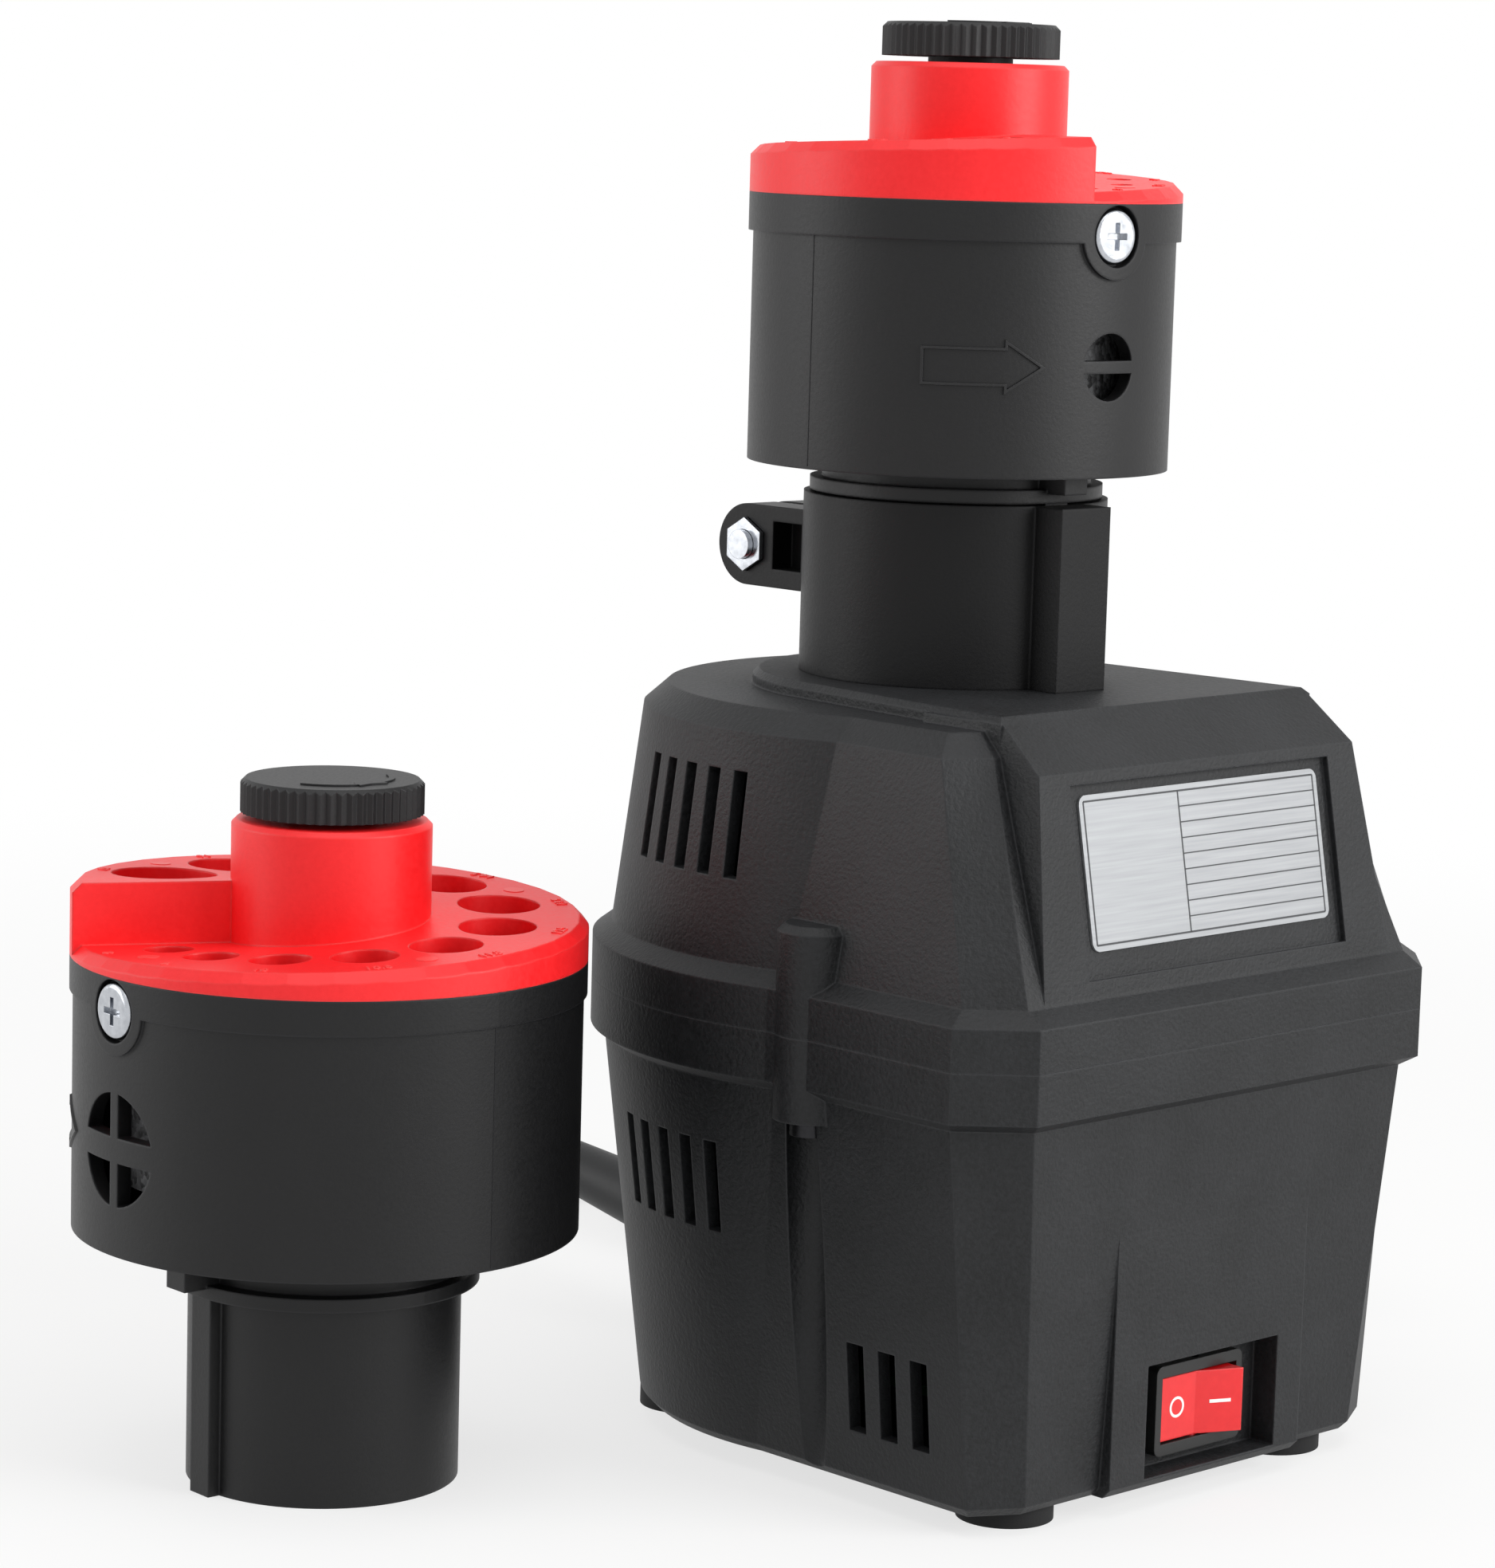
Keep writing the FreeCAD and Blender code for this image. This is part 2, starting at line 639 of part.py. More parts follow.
for angle in (90, 270):
    holder = block(commutator_radius + 2, magnet_outer - 1.5, -4.5, 4.5, commutator_low, bell_plate)
    channel = block(0, 40, -3.1, 3.1, commutator_low + 1.4, commutator_high - 1.4)
    brush = block(commutator_radius + brush_gap, 22.0, -3.0, 3.0, commutator_low + 1.5, commutator_high - 1.5)
    holders.append(turn(holder.cut(channel), angle))
    brushes.append(turn(brush, angle))
save("brush_holders", *holders)
save("carbon_brushes", *brushes)
motor_screws = []
for i in range(4):
    x, y = at_angle(column_ring, 45 + 90 * i)
    motor_screws.append(join(cylinder(3.0, bell_plate - 2.4, bell_plate, x, y),
                             cylinder(1.5, bell_plate, ceiling_height - 4, x, y)))
save("motor_screws", *motor_screws)

# Rotor: shaft, laminated core, windings, commutator, fan and the drive coupling for the head
save("motor_shaft", cylinder(shaft_radius, shaft_bottom, shaft_top))
core = ring(core_radius, shaft_radius, core_low, core_high)
slots = [turn(block(13, core_radius + 1, -1.4, 1.4, core_low - 1, core_high + 1), 30 * i) for i in range(12)]
save("armature_core", core.cut(Part.makeCompound(slots)))
coils = []
for low, high in ((core_low - 7, core_low), (core_high, core_high + 7)):
    coil = ring(core_radius - 3, shaft_radius + 3, low, high)
    coils.append(coil.makeFillet(2.4, [e for e in coil.Edges if e.BoundBox.ZLength < 0.1]))
save("armature_windings", *coils)
commutator = ring(commutator_radius, shaft_radius, commutator_low, commutator_high)
cuts = [turn(block(commutator_radius - 1.2, commutator_radius + 1, -0.3, 0.3, commutator_low - 1, commutator_high + 1),
             15 + 30 * i) for i in range(12)]
save("commutator", commutator.cut(Part.makeCompound(cuts)))
hub = ring(8.0, shaft_radius, fan_low, fan_high)
blades = [turn(block(7, fan_radius, -0.8, 0.8, fan_low + 2, fan_high), 360 * i / fan_blades) for i in range(fan_blades)]
save("cooling_fan", join(hub, ring(fan_radius, 7, fan_low, fan_low + 2), *blades))
coupling = cylinder(coupling_radius, coupling_low, coupling_high)
coupling = coupling.cut(cylinder(shaft_radius, coupling_low - 1, shaft_top))
coupling = coupling.cut(hexagon(dog_flats + 2 * dog_clearance, socket_floor, coupling_high + 1))
save("drive_coupling", coupling)

# Rectifier board on posts over the base, behind the switch
board = block(-24, 24, board_front, board_front + 36, 12.0, 13.6)
board = board.cut(Part.makeCompound([cylinder(1.3, 11, 15, x, y) for x, y in board_posts]))
parts_on_board = [block(-10, 4, 8, 16, 13.6, 20), cylinder(5.0, 13.6, 21.0, 12, 18),
                  block(-14, -6, 24, 29, 13.6, 21), block(8, 16, 6, 12, 13.6, 18)]
save("rectifier_board", join(board, *[move(shape, 0, board_front) for shape in parts_on_board]))


def rising_deck(radius, inner, base, low, high, start):
    """Disc whose top climbs by one turn of a screw, with one upright step where it starts again."""
    halves = []
    for half in (0, 1):
        sections = []
        for i in range(-1, deck_sections + 2):
            angle = 180.0 * (half + i / deck_sections)
            z = base + low + (high - low) * angle / 360
            points = [V(inner, 0, z), V(radius - deck_chamfer, 0, z), V(radius + 2, 0, z - deck_chamfer - 2),
                      V(radius + 2, 0, base + high + 8), V(inner, 0, base + high + 8)]
            sections.append(turn(Part.makePolygon(points + points[:1]), start + angle))
        sector = Part.makeCylinder(radius, high + 2, V(0, 0, base), UP, 180)
        halves.append(turn(sector, start + 180 * half).cut(stack(*sections)))
    return halves[0].fuse(halves[1])


def make_head(prefix, h, place):
    """One grinding head; its flange's underside is z = 0 and its front is at -90 degrees."""
    def put(name, *shapes):
        placed = []
        for shape in shapes:
            copy = shape.copy()
            copy.Placement = place.multiply(copy.Placement)
            placed.append(copy)
        save(prefix + name, *placed)

    base = flange_height + h["collar"]
    edge = base + drum_height
    inside = h["drum_radius"] - drum_wall
    tube_inside = tube_radius - tube_wall
    screw_z = edge - cap_screw_drop
    seat = h["drum_radius"] - 1.4
    cap_screw_angles = (key_angle, key_angle + 180)

    # Drum with tube, flange, key, rim band, vent and screw seats
    drum = join(
        ring(tube_radius, tube_inside, -h["tube_length"], base + 1),
        ring(h["flange_radius"], tube_inside, 0, flange_height),
        ring(tube_radius + 0.4, tube_inside, flange_height, base + 1),
        cylinder(h["drum_radius"], base, base + drum_floor),
        ring(h["drum_radius"], inside, base, edge),
        ring(h["rim_radius"], inside, edge - h["rim_band"], edge),
        cylinder(9.0, base - 8, base + 4.6),
        radial_block(key_half, tube_radius - 1, key_reach, -h["tube_length"], 1, key_angle),
        radial_block(key_half, tube_radius - 1, h["flange_radius"] + 4, flange_height - 0.6, base + 1, key_angle),
    )
    lobes = [radial(cap_screw_head + 2.5, inside + 0.5, h["rim_radius"] + 2, screw_z, a) for a in cap_screw_angles]
    lobe_limit = ring(h["rim_radius"], inside, base + 5, edge)
    drum = join(drum, *[lobe.common(lobe_limit) for lobe in lobes])
    vent = radial(h["vent_radius"], inside - 4, h["rim_radius"] + 3, base + h["vent_height"], key_angle)
    if h["vent_bar_x"]:
        vent = vent.cut(radial_block(h["vent_bar_x"], 10, 60, base, edge, key_angle))
    bar_z = base + h["vent_height"]
    vent = vent.cut(radial_block(h["vent_radius"] + 1, 10, 60, bar_z - h["vent_bar_z"], bar_z + h["vent_bar_z"],
                                 key_angle))
    drum = drum.cut(vent).cut(cylinder(6.5, base - 9, base + 6))
    for angle in cap_screw_angles:
        drum = drum.cut(radial(cap_screw_head + 0.5, seat, seat + 10, screw_z, angle))
        drum = drum.cut(radial(cap_screw_shank + 0.1, inside - 2, seat + 1, screw_z, angle))
    put("head_body", drum)

    # Guide cap: rising deck with graded drill holes and the adjuster post
    spigot = inside - cap_clearance
    cap = rising_deck(h["rim_radius"], 10.0, edge, h["ramp_low"], h["ramp_high"], h["step_angle"])
    post_top = edge + post_height
    post = cylinder(h["post_radius"], edge, post_top)
    post = post.makeChamfer(0.8, [e for e in post.Edges if e.BoundBox.ZMin > post_top - 0.1])
    cap = cap.multiFuse([post, cylinder(spigot, edge - cap_depth, edge)])
    sizes = [h["first_hole"] + h["hole_growth"] * i for i in range(hole_count)]
    arc_length = math.radians(h["last_hole_angle"] - first_hole_angle) * h["hole_ring"]
    web = (arc_length - sum(sizes) + 0.5 * (sizes[0] + sizes[-1])) / (hole_count - 1)
    angle = h["step_angle"] + first_hole_angle
    guides = []
    for i in range(hole_count):
        x, y = at_angle(h["hole_ring"], angle)
        guides.append(cylinder(0.5 * sizes[i], edge - cap_depth - 1, edge + 30, x, y))
        print("%sguide hole %2d radius %.2f at %.2f, %.2f" % (prefix, i, 0.5 * sizes[i], x, y))
        if i + 1 < hole_count:
            angle += math.degrees((0.5 * (sizes[i] + sizes[i + 1]) + web) / h["hole_ring"])
    shoulder = post_top - 8.0
    guides.append(cylinder(10.0, edge - cap_depth - 1, shoulder))
    guides.append(cylinder(knob_hub + run_clearance, shoulder - 1, post_top + 1))
    guides += [radial(cap_screw_shank + 0.1, spigot - 3.4, spigot + 5, screw_z, a) for a in cap_screw_angles]
    put("guide_cap", cap.cut(Part.makeCompound(guides)))

    screws = []
    for angle in cap_screw_angles:
        screw = pan_screw(cap_screw_head, 2.0, cap_screw_shank, seat - spigot + 3.0)
        screw.rotate(ORIGIN, V(0, 1, 0), 90)
        screws.append(turn(move(screw, seat, 0, screw_z), angle))
    put("cap_screws", *screws)

    # Bearing bush of the spindle, pressed in the drum's hub
    put("lower_bush", ring(6.5, spindle_radius + run_clearance, base - 7.5, base + 4.6))

    # Guide bush of the plunger, keyed so the plunger can't turn
    guide_low = edge - cap_depth
    guide_high = guide_low + 15.0
    guide = ring(10.0, plunger_radius + run_clearance, guide_low, guide_high)
    put("plunger_guide", guide.cut(block(0, 7.8, -1.3, 1.3, guide_low - 1, guide_high + 1)))

    # Adjuster knob with its hub, held under the post's shoulder by a ring
    knob_low = post_top + knob_gap
    hub_low = guide_high + 2.0
    points = []
    for i in range(2 * knob_ribs):
        reach = knob_radius - knob_rib_depth * (i % 2)
        points.append(at_angle(reach, 180.0 * i / knob_ribs))
    grip = prism(points, knob_low, knob_low + knob_height)
    grip = grip.common(cone(knob_radius + knob_height - 0.8, knob_radius - 0.8, knob_low, knob_low + knob_height))
    groove_low = shoulder - 1.8
    knob = join(grip, cylinder(knob_hub, hub_low, knob_low + 1))
    knob = knob.cut(ring(knob_hub + 1, knob_hub - 0.9, groove_low, groove_low + 1.2))
    knob = knob.cut(cylinder(adjust_screw + run_clearance, hub_low - 1, knob_low))
    put("adjuster_knob", knob)
    put("knob_ring", ring(knob_hub + 2, knob_hub - 0.8, groove_low + 0.1, groove_low + 1.1))

    # Plunger: slides in its guide and carries the top of the spindle
    nut_top = base + wheel_low + wheel_thickness + 5.5
    plunger_low = nut_top + 0.6
    plunger = join(
        cylinder(plunger_radius, plunger_low, guide_high - 0.5),
        cylinder(adjust_screw, guide_high - 1, knob_low - 2 * adjust_travel),
        block(0, 7.3, -1.0, 1.0, guide_low + 2.0, guide_high - 0.5),
    )
    pivot = spindle_radius - 1.0
    put("adjuster_plunger", plunger.cut(cylinder(pivot + run_clearance, plunger_low - 1, plunger_low + 4.2)))

    # Wheel on its spindle, with nut, washers and the driving dog
    dog_low = 1.8 - h["tube_length"]
    wheel_bottom = base + wheel_low
    wheel_top = wheel_bottom + wheel_thickness
    spindle = join(
        cylinder(spindle_radius, dog_low + 1, nut_top),
        cylinder(pivot, nut_top - 1, plunger_low + 3.6),
        cylinder(8.0, wheel_bottom - 2.5, wheel_bottom),
    )
    put("wheel_spindle", spindle)
    wheel = cylinder(h["wheel_radius"], wheel_bottom, wheel_top)
    wheel = wheel.makeChamfer(2.0, [e for e in wheel.Edges if e.BoundBox.ZMin > wheel_top - 0.1])
    put("grinding_wheel", wheel.cut(cylinder(spindle_radius, wheel_bottom - 1, wheel_top + 1)))
    nut = join(cylinder(9.5, wheel_top, wheel_top + 1.2), hexagon(13.0, wheel_top + 1, nut_top - 0.3))
    put("wheel_nut", nut.cut(cylinder(spindle_radius, wheel_top - 1, nut_top + 1)))
    dog = hexagon(dog_flats, dog_low, dog_low + 10)
    put("drive_dog", dog.cut(cylinder(spindle_radius, dog_low + 1, dog_low + 11)))


make_head("", fitted, FreeCAD.Placement(V(0, 0, neck_top + head_gap), FreeCAD.Rotation()))
make_head("second_", second, FreeCAD.Placement(
    V(second_x, second_y, second["tube_length"]), FreeCAD.Rotation(UP, second_turn)))

# Cord sleeve: tapered rubber moulding plugged in the rear boss
sleeve = Part.makeCone(sleeve_root_radius, sleeve_tip_radius, sleeve_length, ORIGIN, V(0, 1, 0))
sleeve = join(sleeve, Part.makeCylinder(8.6, 2.4, ORIGIN, V(0, 1, 0)),
              Part.makeCylinder(4.5, 12.0, V(0, -12.0, 0), V(0, 1, 0)))
sleeve.Placement = sleeve_place
save("strain_relief", sleeve)


def circle_wire(centre, direction, radius):
    return Part.Wire(Part.makeCircle(radius, centre, direction))


def tube(name, edges):
    path = Part.Wire(edges)
    start = edges[0].firstVertex().Point if edges[0].Orientation == "Forward" else edges[0].lastVertex().Point
    direction = edges[0].tangentAt(edges[0].FirstParameter)
    shape = path.makePipeShell([circle_wire(start, direction, cord_radius)], True, False)
    ratio = shape.Volume / (math.pi * cord_radius ** 2 * path.Length)
    print("%s length %.1f, volume over section times length %.5f" % (name, path.Length, ratio))
    return shape


def rounded_route(points):
    """Straight runs joined by tangent arcs, each taking 0.45 of the shorter run beside it."""
    edges = []
    last = points[0]
    for before, corner, after in zip(points, points[1:], points[2:]):
        incoming = (corner - before).normalize()
        outgoing = (after - corner).normalize()
        reach = 0.45 * min((corner - before).Length, (after - corner).Length)
        half = 0.5 * incoming.getAngle(outgoing)
        radius = reach / math.tan(half)
        start = corner - incoming * reach
        end = corner + outgoing * reach
        inward = (outgoing - incoming).normalize()
        middle = corner + inward * (radius / math.cos(half) - radius)
        print("cord bend radius %.1f" % radius)
        edges.append(Part.makeLine(last, start))
        edges.append(Part.Arc(start, middle, end).toShape())
        last = end
    edges.append(Part.makeLine(last, points[-1]))
    return edges


def arc_edge(start, tangent, end):
    chord = end - start
    angle = tangent.getAngle(chord)
    along = chord * (1.0 / chord.Length)
    side = (tangent - along * tangent.dot(along)).normalize()
    middle = (start + end) * 0.5 + side * (0.5 * chord.Length * math.tan(0.5 * angle))
    return Part.Arc(start, middle, end).toShape()


def biarc(start, start_tangent, end, end_tangent):
    chord = end - start
    both = chord.dot(start_tangent + end_tangent)
    spread = 1.0 - start_tangent.dot(end_tangent)
    reach = (math.sqrt(both * both + 2 * spread * chord.dot(chord)) - both) / (2 * spread)
    joint = (start + end) * 0.5 + (start_tangent - end_tangent) * (0.5 * reach)
    halfway = (end - end_tangent * reach) - (start + start_tangent * reach)
    return [arc_edge(start, start_tangent, joint), arc_edge(joint, halfway.normalize(), end)]


# Coiled spare length of the cord: in on the floor layer, out on the layer above
coil_turn = math.radians(coil_start - coil_end) + 2 * math.pi * coil_whole_turns
coil_floor = tie_thickness + tie_slack + cord_radius
coil_outer = coil_inner + coil_pitch * coil_turn / (4 * math.pi)


def coil_point(turned):
    half = 0.5 * coil_turn
    reach = coil_inner + coil_pitch * abs(turned - half) / (2 * math.pi)
    climb = min(1.0, max(0.0, (turned - half) / math.pi + 0.5))
    climb = climb * climb * (3 - 2 * climb)
    angle = math.radians(coil_start) - turned
    return V(coil_x + reach * math.cos(angle), coil_y + reach * math.sin(angle), coil_floor + coil_pitch * climb)


def coil_tangent(turned):
    step = 0.001
    low = max(0.0, turned - step)
    high = min(coil_turn, turned + step)
    return (coil_point(high) - coil_point(low)).normalize()


coil_steps = 4 * coil_whole_turns + 2
marks = [coil_turn * i / coil_steps for i in range(coil_steps + 1)]
entry = coil_point(0.0) - coil_tangent(0.0) * (2 * cord_radius)
exit_tangent = coil_tangent(coil_turn)
tail_end = coil_point(coil_turn) + exit_tangent * coil_tail
coil_edges = [Part.makeLine(entry, coil_point(0.0))]
for before, after in zip(marks, marks[1:]):
    coil_edges += biarc(coil_point(before), coil_tangent(before), coil_point(after), coil_tangent(after))
coil_edges.append(Part.makeLine(coil_point(coil_turn), tail_end))
save("cord_coil", tube("coil", coil_edges))
samples = [coil_point(coil_turn * i / 1200) for i in range(1201)]
apart = int(1200 * 1.2 * math.pi / coil_turn)
least = min(a.distanceToPoint(b) for i, a in enumerate(samples) for b in samples[i + apart:])
print("coil least gap to itself %.2f, outer radius %.1f" % (least - 2 * cord_radius, coil_outer))

# Free run of the cord from the sleeve to the coil
sleeve_axis = V(0, math.cos(math.radians(sleeve_tilt)), math.sin(math.radians(sleeve_tilt)))
sleeve_tip = sleeve_root + sleeve_axis * sleeve_length
route = [
    sleeve_tip,
    sleeve_tip + sleeve_axis * 21.0,
    V(7.0, 139.0, 27.5),
    V(22.5, 152.0, 19.0),
    V(42.5, 154.0, 9.5),
    entry - coil_tangent(0.0) * 20.0,
    entry,
]
for point in route:
    print("route %.2f, %.2f, %.2f" % (point.x, point.y, point.z))
save("cord_stretch", tube("stretch", rounded_route(route)))

# Strap tie round the coil
inner_reach = coil_inner - cord_radius - tie_slack
outer_reach = coil_outer + cord_radius + tie_slack
strap_top = coil_floor + coil_pitch + cord_radius + tie_slack
strap = block(inner_reach - tie_thickness, outer_reach + tie_thickness, -tie_width / 2, tie_width / 2,
              0, strap_top + tie_thickness)
strap = strap.cut(block(inner_reach, outer_reach, -tie_width, tie_width, tie_thickness, strap_top))
save("cord_tie", move(turn(strap, tie_angle), coil_x, coil_y))

# Moulded two-pin plug lying flat at the cord's end
plug_turn = math.degrees(math.atan2(exit_tangent.y, exit_tangent.x))
plug_place = FreeCAD.Placement(V(tail_end.x, tail_end.y, 0), FreeCAD.Rotation(UP, plug_turn))
middle = plug_thickness / 2
neck_loft = Part.makeLoft([
    circle_wire(V(0, 0, tail_end.z), V(1, 0, 0), cord_radius + 0.7),
    circle_wire(V(plug_sleeve, 0, middle), V(1, 0, 0), 5.6)], True, False)
shell = prism([(plug_sleeve - 1, -8.0), (plug_sleeve + 9, -plug_half_width),
               (plug_sleeve + 0.75 * plug_length, -plug_half_width), (plug_sleeve + plug_length, -13.0),
               (plug_sleeve + plug_length, 13.0), (plug_sleeve + 0.75 * plug_length, plug_half_width),
               (plug_sleeve + 9, plug_half_width), (plug_sleeve - 1, 8.0)], 0, plug_thickness)
shell = shell.makeFillet(2.4, [e for e in shell.Edges if e.BoundBox.ZLength < 0.1])
plug = join(shell, neck_loft)
plug.Placement = plug_place
save("plug_body", plug)
pins = []
for y in (-pin_spread, pin_spread):
    start = plug_sleeve + plug_length
    pin = Part.makeCylinder(pin_radius, pin_length - pin_radius, V(start, y, middle), V(1, 0, 0))
    pin = join(pin, Part.makeSphere(pin_radius, V(start + pin_length - pin_radius, y, middle)))
    pin.Placement = plug_place
    pins.append(pin)
save("plug_pins", *pins)
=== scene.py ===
import json
import math

import bmesh
import bpy
from mathutils import Matrix, Vector


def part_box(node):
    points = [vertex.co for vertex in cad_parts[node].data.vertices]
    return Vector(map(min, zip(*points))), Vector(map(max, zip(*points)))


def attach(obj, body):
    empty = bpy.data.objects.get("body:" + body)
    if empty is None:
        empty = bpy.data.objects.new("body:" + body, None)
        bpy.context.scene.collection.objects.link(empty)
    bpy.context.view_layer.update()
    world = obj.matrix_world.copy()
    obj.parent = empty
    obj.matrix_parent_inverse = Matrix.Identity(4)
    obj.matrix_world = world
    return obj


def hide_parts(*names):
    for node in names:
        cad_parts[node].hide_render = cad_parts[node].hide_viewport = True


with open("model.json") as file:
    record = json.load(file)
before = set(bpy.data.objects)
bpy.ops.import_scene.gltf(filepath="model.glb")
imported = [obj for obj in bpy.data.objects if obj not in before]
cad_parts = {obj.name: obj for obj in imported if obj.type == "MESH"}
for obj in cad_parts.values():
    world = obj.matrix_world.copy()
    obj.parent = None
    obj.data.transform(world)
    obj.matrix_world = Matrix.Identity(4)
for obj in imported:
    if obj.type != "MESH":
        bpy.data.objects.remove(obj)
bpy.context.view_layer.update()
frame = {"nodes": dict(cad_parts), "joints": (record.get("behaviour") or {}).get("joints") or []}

# Housing: a tub and a cover of charcoal ABS from a spark-eroded tool, screwed together at the belt.
# The cover carries the sloping label face and the split neck that clamps a grinding head.
MM = 0.001
housing_deep = "#0F1011"
housing_pale = "#242527"
# Paler colour of the housing's rounded edges: partly wear, partly a painted highlight.
housing_wear_and_highlight = "#46474A"
housing_grain = 0.7 * MM
housing_grain_depth = 0.14 * MM
housing_edge = 0.5 * MM
tone_drift = 14.0 * MM
speckle_spread = 1.6
gloss_spread = 0.08
# How strongly rounded edges take the paler edge colour: partly wear, partly a painted highlight.
wear_and_highlight_begins = 0.99
wear_and_highlight_full = 0.75
wear_and_highlight_share = 0.6


def linear(code):
    """An sRGB hex colour as linear red, green, blue and alpha."""
    channels = [int(code[i:i + 2], 16) / 255 for i in (1, 3, 5)]
    return [c / 12.92 if c <= 0.04045 else ((c + 0.055) / 1.055) ** 2.4 for c in channels] + [1.0]


def add(tree, kind, settings=None, links=None):
    """Adds a shader node, sets its properties and sockets, and links what feeds it."""
    node = tree.nodes.new("ShaderNode" + kind)
    for key, value in (settings or {}).items():
        if isinstance(key, str) and hasattr(node, key):
            setattr(node, key, value)
        else:
            node.inputs[key].default_value = value
    for key, source in (links or {}).items():
        tree.links.new(source, node.inputs[key])
    return node


def blank_material(name):
    """A new material with an empty node tree, and the place of a point on the part in metres."""
    material = bpy.data.materials.new(name)
    material.use_nodes = True
    tree = material.node_tree
    tree.nodes.clear()
    return material, tree, add(tree, "TexCoord").outputs["Object"]


def moulded(name, deep, pale, wear_and_highlight, grain, depth, roughness, edge, ior=1.53, shine=0.3):
    """Moulded plastic: a slow drift of tone, a fine grain from the tool, and paler rounded edges, partly
    wear and partly painted highlight.
    """
    material, tree, place = blank_material(name)
    drift = add(tree, "TexNoise", {"Scale": 1 / tone_drift, "Detail": 3.0}, {"Vector": place})
    skin = add(tree, "TexNoise", {"Scale": 1 / grain, "Detail": 2.0, "Roughness": 0.6}, {"Vector": place})
    rounded = add(tree, "Bevel", {"samples": 4, "Radius": edge})
    flat = add(tree, "NewGeometry")
    facing = add(tree, "VectorMath", {"operation": "DOT_PRODUCT"},
                 {0: rounded.outputs["Normal"], 1: flat.outputs["Normal"]})
    # Rounded edges are mixed toward the paler edge colour: partly wear, partly a painted highlight.
    wear_and_highlight_mask = add(tree, "MapRange", {"From Min": wear_and_highlight_begins, "From Max": wear_and_highlight_full, "To Max": wear_and_highlight_share},
              {"Value": facing.outputs["Value"]})
    speckle = add(tree, "Math", {"operation": "MULTIPLY_ADD", 1: speckle_spread, 2: -0.5 * speckle_spread},
                  {0: skin.outputs[0]})
    mottle = add(tree, "Math", {"operation": "ADD", "use_clamp": True},
                 {0: drift.outputs[0], 1: speckle.outputs[0]})
    tone = add(tree, "Mix", {"data_type": "RGBA", 6: linear(deep), 7: linear(pale)}, {0: mottle.outputs[0]})
    colour = add(tree, "Mix", {"data_type": "RGBA", 7: linear(wear_and_highlight)},
                 {0: wear_and_highlight_mask.outputs["Result"], 6: tone.outputs[2]})
    gloss = add(tree, "MapRange", {"To Min": roughness - gloss_spread, "To Max": roughness + gloss_spread},
                {"Value": skin.outputs[0]})
    bump = add(tree, "Bump", {"Distance": depth},
               {"Height": skin.outputs[0], "Normal": rounded.outputs["Normal"]})
    surface = add(tree, "BsdfPrincipled", {"IOR": ior, "Specular IOR Level": shine},
                  {"Base Color": colour.outputs[2], "Roughness": gloss.outputs["Result"],
                   "Normal": bump.outputs["Normal"]})
    add(tree, "OutputMaterial", {}, {"Surface": surface.outputs["BSDF"]})
    return material


def dress(material, *names):
    """Gives CAD nodes a material in the slots that they came with."""
    for name in names:
        for slot in frame["nodes"][name].material_slots:
            slot.material = material


# Spark-eroded ABS is matt with a fine even grain; its edges are drawn paler, partly as wear and partly as a
# painted highlight.
charcoal_abs = moulded("charcoal_abs_spark_eroded", housing_deep, housing_pale, housing_wear_and_highlight,
                       housing_grain, housing_grain_depth, 0.55, housing_edge)
dress(charcoal_abs, "lower_housing", "upper_housing")
# The neck comes from a finer face of the same tool, so it is smoother; its colour is drawn blacker as
# painted shade from the drum above.
neck_abs_painted_shade = moulded("charcoal_abs_fine_face_painted_shade", "#0A0A0B", "#101011", "#2E2E30", 0.6 * MM, 0.03 * MM, 0.46,
                   housing_edge, 1.53, 0.2)
dress(neck_abs_painted_shade, "clamp_neck")

# Rating plate: a die-cut label of silvered polyester film, stuck in the recess of the sloping face.
# Only the ruled border and the rows of an empty table are printed on it, in grey ink.
plate_thickness = 0.4 * MM
block_run = 6.6 * MM
block_rise = 34.8 * MM
rule_width = 0.3 * MM
rule_proud = 0.03 * MM
border_inset = 1.0 * MM
table_start = 0.40
table_rows = 9
film_low, film_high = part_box("rating_plate")


def film(name, deep, pale, streak, roughness):
    """Silvered film: metal under a clear face, with fine streaks along its length."""
    material, tree, place = blank_material(name)
    stretched = add(tree, "Mapping", {"Scale": (0.03, 1.0, 1.0)}, {"Vector": place})
    streaks = add(tree, "TexNoise", {"Scale": 1 / streak, "Detail": 2.0},
                  {"Vector": stretched.outputs["Vector"]})
    tone = add(tree, "Mix", {"data_type": "RGBA", 6: linear(deep), 7: linear(pale)},
               {0: streaks.outputs[0]})
    gloss = add(tree, "MapRange", {"To Min": roughness - gloss_spread, "To Max": roughness + gloss_spread},
                {"Value": streaks.outputs[0]})
    surface = add(tree, "BsdfPrincipled", {"Metallic": 0.35, "Coat Weight": 0.3, "Coat Roughness": 0.2},
                  {"Base Color": tone.outputs[2], "Roughness": gloss.outputs["Result"]})
    add(tree, "OutputMaterial", {}, {"Surface": surface.outputs["BSDF"]})
    return material


def piece(name, shape, material, body):
    """Turns a finished bmesh into an object of one material that moves with a body."""
    bmesh.ops.recalc_face_normals(shape, faces=shape.faces)
    mesh = bpy.data.meshes.new(name)
    shape.to_mesh(mesh)
    shape.free()
    mesh.materials.append(material)
    made = bpy.data.objects.new(name, mesh)
    bpy.context.scene.collection.objects.link(made)
    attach(made, body)
    return made


def slab(shape, place, x0, x1, y0, y1, z0, z1):
    """A closed flat bar in a frame of its own."""
    bar = bmesh.ops.create_cube(shape, size=1.0)["verts"]
    sized = Matrix.Translation(((x0 + x1) / 2, (y0 + y1) / 2, (z0 + z1) / 2))
    sized = sized @ Matrix.Diagonal((x1 - x0, y1 - y0, z1 - z0, 1.0))
    bmesh.ops.transform(shape, matrix=place @ sized, verts=bar)


